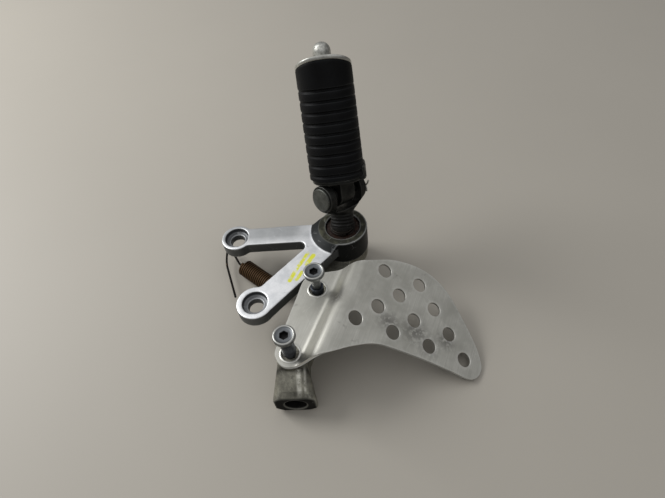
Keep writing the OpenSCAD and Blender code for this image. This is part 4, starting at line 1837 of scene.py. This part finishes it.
@dataclass
class ReturnSpring:
    """The loose rusty extension spring: a long leg, a close coil and a hook round a post.

    Attributes:
        leg: corners of the long leg.
        start: where the coil's axis starts.
        direction: the coil's direction.
        radius: radius of the coil's middle line.
        wire: diameter of the wire.
        pitch: rise of one turn.
        turns: number of turns.
        lead, tail: points before and after the coil, each along its axis and beside it.
        hook_z: height of the hook round the post.
        post: place of the post.
        post_r: radius of the post.
        post_span: lower and upper height of the post.
        head_t: thickness of its head.
        collar_z: height from which the post is thinner, in its hole.
    """

    leg: tuple[Triple, ...] = ((-2.2, -39.5, -14.0), (-9.0, -20.0, -13.5), (-12.8, -8.0, -12.5),
                               (-13.6, 2.5, -11.5), (-12.4, 4.6, -11.2), (-10.5, 4.8, -11.3))
    start: Triple = (2.2, -12.0, -13.5)
    direction: Triple = (0.785, -0.614, -0.075)
    radius: float = 6.0
    wire: float = 1.7
    pitch: float = 1.75
    turns: int = 19
    lead: tuple[Pair, ...] = ((-6.0, 0.0), (-3.4, 1.4))
    tail: tuple[Pair, ...] = ((2.5, 3.5), (5.0, 0.5), (11.0, 0.3))
    hook_z: float = -13.6
    post: Pair = (41.5, -35.0)
    post_r: float = 3.0
    post_span: Pair = (-17.5, 5.5)
    head_t: float = 1.5
    collar_z: float = 2.0

    def path(self) -> Array:
        """The wire's middle line: leg, a turn about the axis that rises evenly, then the hook.

        Returns:
            The line's points.
        """
        axis = np.array(self.direction) / np.linalg.norm(self.direction)
        out = np.cross(axis, [1.0, 0.0, 0.0] if abs(axis[0]) < 0.8 else [0.0, 1.0, 0.0])
        out /= np.linalg.norm(out)
        up = np.cross(axis, out)
        start = np.array(self.start)
        lead = [start + axis * along + out * aside for along, aside in self.lead]
        angle = np.linspace(0.0, 2 * np.pi * self.turns, 40 * self.turns)[:, None]
        around = self.radius * (np.cos(angle) * out + np.sin(angle) * up)
        coil = start + axis * self.pitch * angle / (2 * np.pi) + around
        far = start + axis * self.turns * self.pitch
        tail = [far + axis * along + out * aside for along, aside in self.tail]
        turn = np.radians(215 - 25 * np.arange(10))
        reach = self.post_r + self.wire / 2 + 0.15
        hook = np.stack([self.post[0] + reach * np.cos(turn), self.post[1] + reach * np.sin(turn),
                         np.full(len(turn), self.hook_z)], axis=1)
        return flowing(np.concatenate([np.array(self.leg), lead, coil, tail, hook]), 0.7)

    def build(self) -> None:
        """Build and dress the spring, whose turns carry a painted highlight along their outer crests, and
        its post.
        """
        shell = wire(self.path(), self.wire / 2, 12)
        axis = np.array(self.direction) / np.linalg.norm(self.direction)
        away = shell.points[0] - np.array(self.start)
        reach = np.linalg.norm(away - (away @ axis)[:, None] * axis, axis=1)
        crest = self.radius + self.wire / 2
        # Painted highlight: the outer crest of each turn is painted lighter.
        shell.wear_and_highlight[0] = fade(reach, crest - 0.19, crest - 0.01) * (reach < crest + 0.35)
        role = Role(Body.BRACKET, Slot.RUSTY_WIRE, RUST, ("return_spring",))
        shell_piece("loose_spring", shell, PART, role, 60.0)
        self.build_post()

    def build_post(self) -> None:
        """The post under the lower arm: a head, a shank and a thinner end in its hole."""
        r = self.post_r
        low, high = self.post_span
        profile = rounded([(0.5, low), (r + 1.5, low), (r + 1.5, low + self.head_t), (r, low + self.head_t),
                           (r, self.collar_z), (r - 1, self.collar_z), (r - 1, high), (0.5, high)], 0.4, 3)
        post = Shell()
        post.grid(turned(profile, 48), poles=True)
        role = Role(Body.BRACKET, Slot.ZINC_STEEL, PIN_STEEL, ("spring_post",))
        shell_piece("hook_post", post, Place((self.post[0], self.post[1], 0.0)), role, 35.0)


# The peg


@dataclass
class FootPeg:
    """The folding peg: steel core, ribbed rubber, arched end plate and feeler.

    Attributes:
        width, depth: size of the rubber across the peg.
        corner: radius of its corners.
        start: where the rubber starts along the peg.
        length: where the front edge of the end plate lies.
        slant: slant of the end in degrees.
        arch_r: radius of the end's arch.
        plate: thickness of the end plate.
        grooves: number of grooves.
        first, pitch: place of the first groove and their pitch.
        lip: rows across one groove, each its inset, its place and how light it is painted, partly dust and
            partly a painted highlight.
        groove: width of a groove.
        deep: depth of a groove at the front.
        side_share: share of that depth at the sides.
        flare: how much wider the rubber is at its foot.
        crown: how far a rib's middle stands out.
        lit: the side, in degrees, on which the ribs' lips carry the most painted highlight.
        rim: rows round the end plate, each its inset, its share of a circle and its height.
        core_r: radius of the core's bar.
        feeler_r: radius of the feeler.
        shank_r, shank: radius and length of its shank in the core.
        neck: how far under its round end's centre the feeler's groove lies.
        feeler_tip: where the feeler's round end is centred.
        core_end: where the core's bar ends.
    """

    width: float = 37.5
    depth: float = 35.0
    corner: float = 14.0
    start: float = 13.5
    length: float = 97.0
    slant: float = 17.5
    arch_r: float = 95.0
    plate: float = 2.8
    grooves: int = 9
    first: float = 16.5
    pitch: float = 7.2
    lip: tuple[Triple, ...] = (
        (0.0, -0.4, 0.1), (0.06, 0.0, 0.5), (0.3, 0.3, 0.2), (0.85, 0.5, 0.0), (1.15, 0.8, 0.0),
        (1.2, 1.3, 0.0), (1.15, 1.8, 0.0), (0.85, 2.1, 0.0), (0.3, 2.3, 0.7), (0.06, 2.6, 1.0),
        (0.0, 3.1, 0.1))
    groove: float = 2.6
    deep: float = 1.2
    side_share: float = 0.2
    flare: float = 0.05
    crown: float = 0.06
    lit: float = -60.0
    rim: tuple[Triple, ...] = (
        (0.0, 1.0, 0.0), (0.5, 0.5, 0.0), (0.7, 0.0, 0.0), (0.15, 0.0, 0.2), (0.0, 0.0, 0.6),
        (0.0, 0.0, 1.6), (0.1, 0.0, 2.1), (0.4, 0.0, 2.5), (0.9, 0.0, 2.72), (1.8, 0.0, 2.8),
        (1.5, 0.35, 2.8), (1.0, 0.7, 2.8), (0.0, 0.97, 2.8), (0.0, 1.0, 2.6))
    core_r: float = 7.1
    feeler_r: float = 6.05
    shank_r: float = 4.0
    shank: float = 22.0
    neck: float = 5.0
    feeler_tip: float = 98.0
    core_end: float = 84.0

    def arch(self, x: Array, y: Array, drop: Array | float) -> Array:
        """Height of the slanted, arched end.

        In the frame that leans by the slant, the end is the cylinder x^2 + (z + R)^2 = (R - drop)^2.

        Args:
            x, y: places across the peg.
            drop: how far below the outer face.

        Returns:
            The height along the peg at each place.
        """
        lean = math.radians(self.slant)
        apex = self.length - self.depth / 2 * math.tan(lean)
        bow = np.sqrt((self.arch_r - drop) ** 2 - x ** 2) - self.arch_r
        along = (y - bow * math.sin(lean)) / math.cos(lean)
        return apex - along * math.sin(lean) + bow * math.cos(lean)

    def section(self, inset: float, round_share: float, radius: float) -> Array:
        """The peg's outline moved inward, then blended toward a circle.

        Args:
            inset: how far inward.
            round_share: 0 for the outline, 1 for the circle.
            radius: the circle's radius.

        Returns:
            Points across the peg.
        """
        ring = oblong(self.width - 2 * inset, self.depth - 2 * inset, self.corner - inset)
        angle = np.arctan2(ring[:, 1], ring[:, 0])
        circle = radius * np.stack([np.cos(angle), np.sin(angle)], axis=1)
        return ring * (1 - round_share) + circle * round_share

    def build(self) -> None:
        """Build and dress core, rubber, end plate and feeler."""
        skin = Skin("peg_core", 0.5, 4)
        skin.build()
        role = Role(Body.PEG, Slot.DARK_STEEL, DARK_STEEL, ("peg_core",))
        as_piece("core_forging", skin.mesh, role, ALL_SOFT)
        self.build_rubber()
        self.build_plate()
        self.build_feeler()

    def grooved(self, inset: float) -> Array:
        """The outline moved inward by a groove that is shallower at the peg's two sides.

        Args:
            inset: depth of the groove at the front and the back.

        Returns:
            Points across the peg.
        """
        shallow = self.section(inset * self.side_share, 0.0, 1.0)
        full = self.section(inset, 0.0, 1.0)
        facing = np.abs(full[:, 1:]) / np.linalg.norm(full, axis=1)[:, None]
        return shallow + (full - shallow) * facing

    def widened(self, ring: Array, height: Array | float) -> Array:
        """A ring made wider by the flare, which fades evenly from the foot to the end.

        Args:
            ring: points across the peg.
            height: the height of all, or of each.

        Returns:
            The points with their height.
        """
        heights = np.broadcast_to(height, len(ring))
        wider = 1.0 + self.flare * fade(heights, self.length, self.start)
        return np.column_stack([ring * wider[:, None], heights])

    def rib_rows(self) -> list[Triple]:
        """Rows up the rubber's side.

        Returns:
            For each row its inset, its height and how light it is painted: dust on the lips and a painted
            highlight.
        """
        deepest = max(inset for inset, _, _ in self.lip)
        rows = [(0.0, self.start + 0.8, 0.4), (0.0, self.start + 1.6, 0.0)]
        for k in range(self.grooves):
            low = self.first + self.pitch * k
            rows += [(inset / deepest * self.deep, low + step, wear_and_highlight) for inset, step, wear_and_highlight in self.lip]
            rows.append((-self.crown, low + (self.groove + self.pitch) / 2, 0.0))
        return rows

    def build_rubber(self) -> None:
        """The sleeve: up the ribbed side, over the arched end, down the bore and back."""
        grid = []
        wear_and_highlight = []
        bore = self.core_r + 0.1
        for share, inset, lift in ((1.0, 0.0, 0.0), (0.5, 0.0, 0.0), (0.0, 1.0, 0.0), (0.0, 0.25, 0.4)):
            ring = self.section(inset, share, bore)
            grid.append(np.column_stack([ring, np.full(len(ring), self.start + lift)]))
            wear_and_highlight.append(0.0)
        for inset, height, worn_and_lit in self.rib_rows():
            grid.append(self.widened(self.grooved(inset), height))
            wear_and_highlight.append(worn_and_lit)
        top = self.first + self.pitch * self.grooves
        for share in np.linspace(0.12, 1.0, 9):
            ring = self.section(0.0, 0.0, bore)
            end = self.arch(ring[:, 0], ring[:, 1], self.plate)
            grid.append(self.widened(ring, top + share * (end - 0.6 - top)))
            wear_and_highlight.append(0.0)
        for inset, share, drop in ((0.2, 0.0, 0.15), (0.7, 0.0, 0.0), (1.0, 0.5, 0.0), (0.0, 1.0, 0.0)):
            ring = self.section(inset, share, bore)
            grid.append(np.column_stack([ring, self.arch(ring[:, 0], ring[:, 1], self.plate + drop)]))
            wear_and_highlight.append(0.0)
        rows = np.array(grid)
        # The lips' painted highlight is strongest on the lit side.
        around = np.arctan2(rows[..., 1], rows[..., 0]) - math.radians(self.lit)
        lit = 0.3 + 0.7 * np.clip(np.cos(around), 0, 1)
        shell = Shell()
        shell.grid(rows, wrap_rows=True, wear_and_highlight=np.array(wear_and_highlight)[:, None] * lit)
        role = Role(Body.PEG, Slot.PEG_RUBBER, RUBBER, ("peg_rubber",))
        shell_piece("ribbed_rubber", shell, RUBBER_PLACE, role, 60.0)

    def build_plate(self) -> None:
        """The end plate: out along its underside, round its rim, and back over its top."""
        hole = self.feeler_r + 0.1
        grid = []
        for inset, share, rise in self.rim:
            ring = self.section(inset, share, hole)
            grid.append(np.column_stack([ring, self.arch(ring[:, 0], ring[:, 1], self.plate - rise)]))
        shell = Shell()
        shell.grid(np.array(grid), wrap_rows=True)
        role = Role(Body.PEG, Slot.BRIGHT_STEEL, BRIGHT, ("end_plate",))
        shell_piece("arched_end_plate", shell, RUBBER_PLACE, role)

    def build_feeler(self) -> None:
        """The feeler: a shank in the core, a round body with a groove, and a ball-shaped end."""
        r = self.feeler_r
        foot, neck = self.core_end - self.shank, self.feeler_tip - self.neck
        corners = [(0.5, foot), (self.shank_r, foot), (self.shank_r, self.core_end), (r, self.core_end),
                   (r, neck - 1.0), (r - 0.5, neck - 0.4), (r - 0.5, neck + 0.4), (r, neck + 1.0)]
        body = rounded(corners, 0.25, 3)
        angle = np.radians(np.linspace(0.0, 86.0, 12))
        dome = np.stack([r * np.cos(angle), self.feeler_tip + (r - 0.3) * np.sin(angle)], axis=1)
        shell = Shell()
        shell.grid(turned(np.concatenate([body, dome]), 56), poles=True)
        role = Role(Body.PEG, Slot.BRIGHT_STEEL, FEELER, ("feeler_bolt",))
        shell_piece("feeler", shell, PEG, role, 35.0)


# Where it stands, and how it is seen


@dataclass
class Stage:
    """The bench, the background, the lamps and the camera.

    Attributes:
        up: the bench's normal in the part's frame.
        level: the bench's distance from the origin along that normal.
        camera: the camera's place.
        ahead, above: the camera's direction and its upper side.
        lens: focal length for a sensor 36 mm wide.
        bench: colour of the bench.
        half: half the bench's side.
        backdrop: colour behind it.
        low_room, high_room: colours of the room's light from the side and from above.
        lamp_at: the lamp's place.
        lamp_side: its side in metres.
        lamp_power: its power in watts.
        middle: what the bench is centred on and the lamp faces.
    """

    up: Triple = (0.0874, -0.0024, 0.9962)
    level: float = -20.2
    camera: Triple = (103.05, -246.8, 302.7)
    ahead: Triple = (-0.0755, 0.6157, -0.7844)
    above: Triple = (0.059, 0.788, 0.613)
    lens: float = 27.07
    bench: Colour = tone(164, 159, 149)
    half: float = 3000.0
    backdrop: Colour = tone(214, 213, 210)
    low_room: Colour = tone(52, 51, 50)
    high_room: Colour = tone(216, 216, 217)
    lamp_at: Triple = (-760.0, 260.0, 720.0)
    lamp_side: float = 0.5
    lamp_power: float = 9.4
    middle: Triple = (80.0, -30.0, 0.0)

    def build(self) -> None:
        """Set up everything that isn't part of the object."""
        self.build_bench()
        self.build_world()
        self.build_camera()
        self.build_lamp()
        bpy.context.scene.view_settings.view_transform = "Standard"

    def build_bench(self) -> None:
        """A plain flat square under the object."""
        normal = np.array(self.up) / np.linalg.norm(self.up)
        across = np.cross([0.0, 1.0, 0.0], normal)
        across /= np.linalg.norm(across)
        along = np.cross(normal, across)
        middle = np.array(self.middle)
        middle += normal * (self.level - middle.dot(normal))
        signs = ((-1, -1), (1, -1), (1, 1), (-1, 1))
        corners = [middle + self.half * (a * across + b * along) for a, b in signs]
        mesh = bpy.data.meshes.new("bench")
        mesh.from_pydata((np.array(corners) * MM).tolist(), [], [(0, 1, 2, 3)])
        bench = bpy.data.objects.new("bench", mesh)
        bpy.context.scene.collection.objects.link(bench)
        material = bpy.data.materials.new("bench")
        material.use_nodes = True
        material.node_tree.nodes.clear()
        graph = Graph(material.node_tree)
        place = graph.add("ShaderNodeTexCoord").outputs["Object"]
        cloud = graph.group(Effect.PATCHES, {"Vector": place, "Size": 300.0, "Low": 0.3, "High": 0.7})
        darker = tuple(0.96 * c for c in self.bench[:3]) + (1.0,)
        colour = graph.blend(cloud, self.bench, darker)
        shader = graph.add("ShaderNodeBsdfPrincipled", {"Base Color": colour, "Roughness": 0.6})
        graph.add("ShaderNodeOutputMaterial", {"Surface": shader.outputs[0]})
        mesh.materials.append(material)

    def build_world(self) -> None:
        """A soft room: brighter from above, plain and pale where the camera sees it."""
        world = bpy.data.worlds.new("room")
        bpy.context.scene.world = world
        world.use_nodes = True
        world.node_tree.nodes.clear()
        graph = Graph(world.node_tree)
        place = graph.add("ShaderNodeTexCoord").outputs["Generated"]
        height = graph.add("ShaderNodeSeparateXYZ", {0: place}).outputs["Z"]
        share = graph.span(height, 0.0, 0.75)
        room = graph.blend(share, self.low_room, self.high_room)
        path = graph.add("ShaderNodeLightPath")
        seen = graph.maths("MAXIMUM", path.outputs["Is Camera Ray"], path.outputs["Is Transmission Ray"])
        colour = graph.blend(seen, room, self.backdrop)
        shader = graph.add("ShaderNodeBackground", {"Color": colour, "Strength": 1.0})
        graph.add("ShaderNodeOutputWorld", {"Surface": shader.outputs[0]})

    def build_camera(self) -> None:
        """The camera that took the photo."""
        camera = bpy.data.objects.new("camera", bpy.data.cameras.new("camera"))
        bpy.context.scene.collection.objects.link(camera)
        camera.data.lens = self.lens
        camera.data.sensor_width = 36.0
        camera.data.clip_start = 0.01
        back = -Vector(self.ahead).normalized()
        above = (Vector(self.above) - Vector(self.above).dot(back) * back).normalized()
        right = above.cross(back)
        camera.matrix_world = Matrix.Translation(Vector(self.camera) * MM) @ Matrix(
            [(right[k], above[k], back[k], 0.0) for k in range(3)] + [(0.0, 0.0, 0.0, 1.0)])
        bpy.context.scene.camera = camera

    def build_lamp(self) -> None:
        """A square lamp high on the left, which faces the object."""
        data = bpy.data.lights.new("overhead", "AREA")
        data.size = self.lamp_side
        data.energy = self.lamp_power
        lamp = bpy.data.objects.new("overhead", data)
        bpy.context.scene.collection.objects.link(lamp)
        lamp.location = Vector(self.lamp_at) * MM
        toward = (Vector(self.middle) - Vector(self.lamp_at)) * MM
        lamp.rotation_euler = toward.to_track_quat("-Z", "Y").to_euler()


def main() -> None:
    """Build every sub-assembly in order."""
    logging.basicConfig(level=logging.INFO, format="%(message)s")
    for assembly in (Stage(), Bracket(), HeelGuard(), GuardScrews(), PegHolder(), Hinge(), ReturnSpring(),
                     FootPeg()):
        log.info("building %s", type(assembly).__name__)
        assembly.build()


if __name__ == "__main__":
    main()
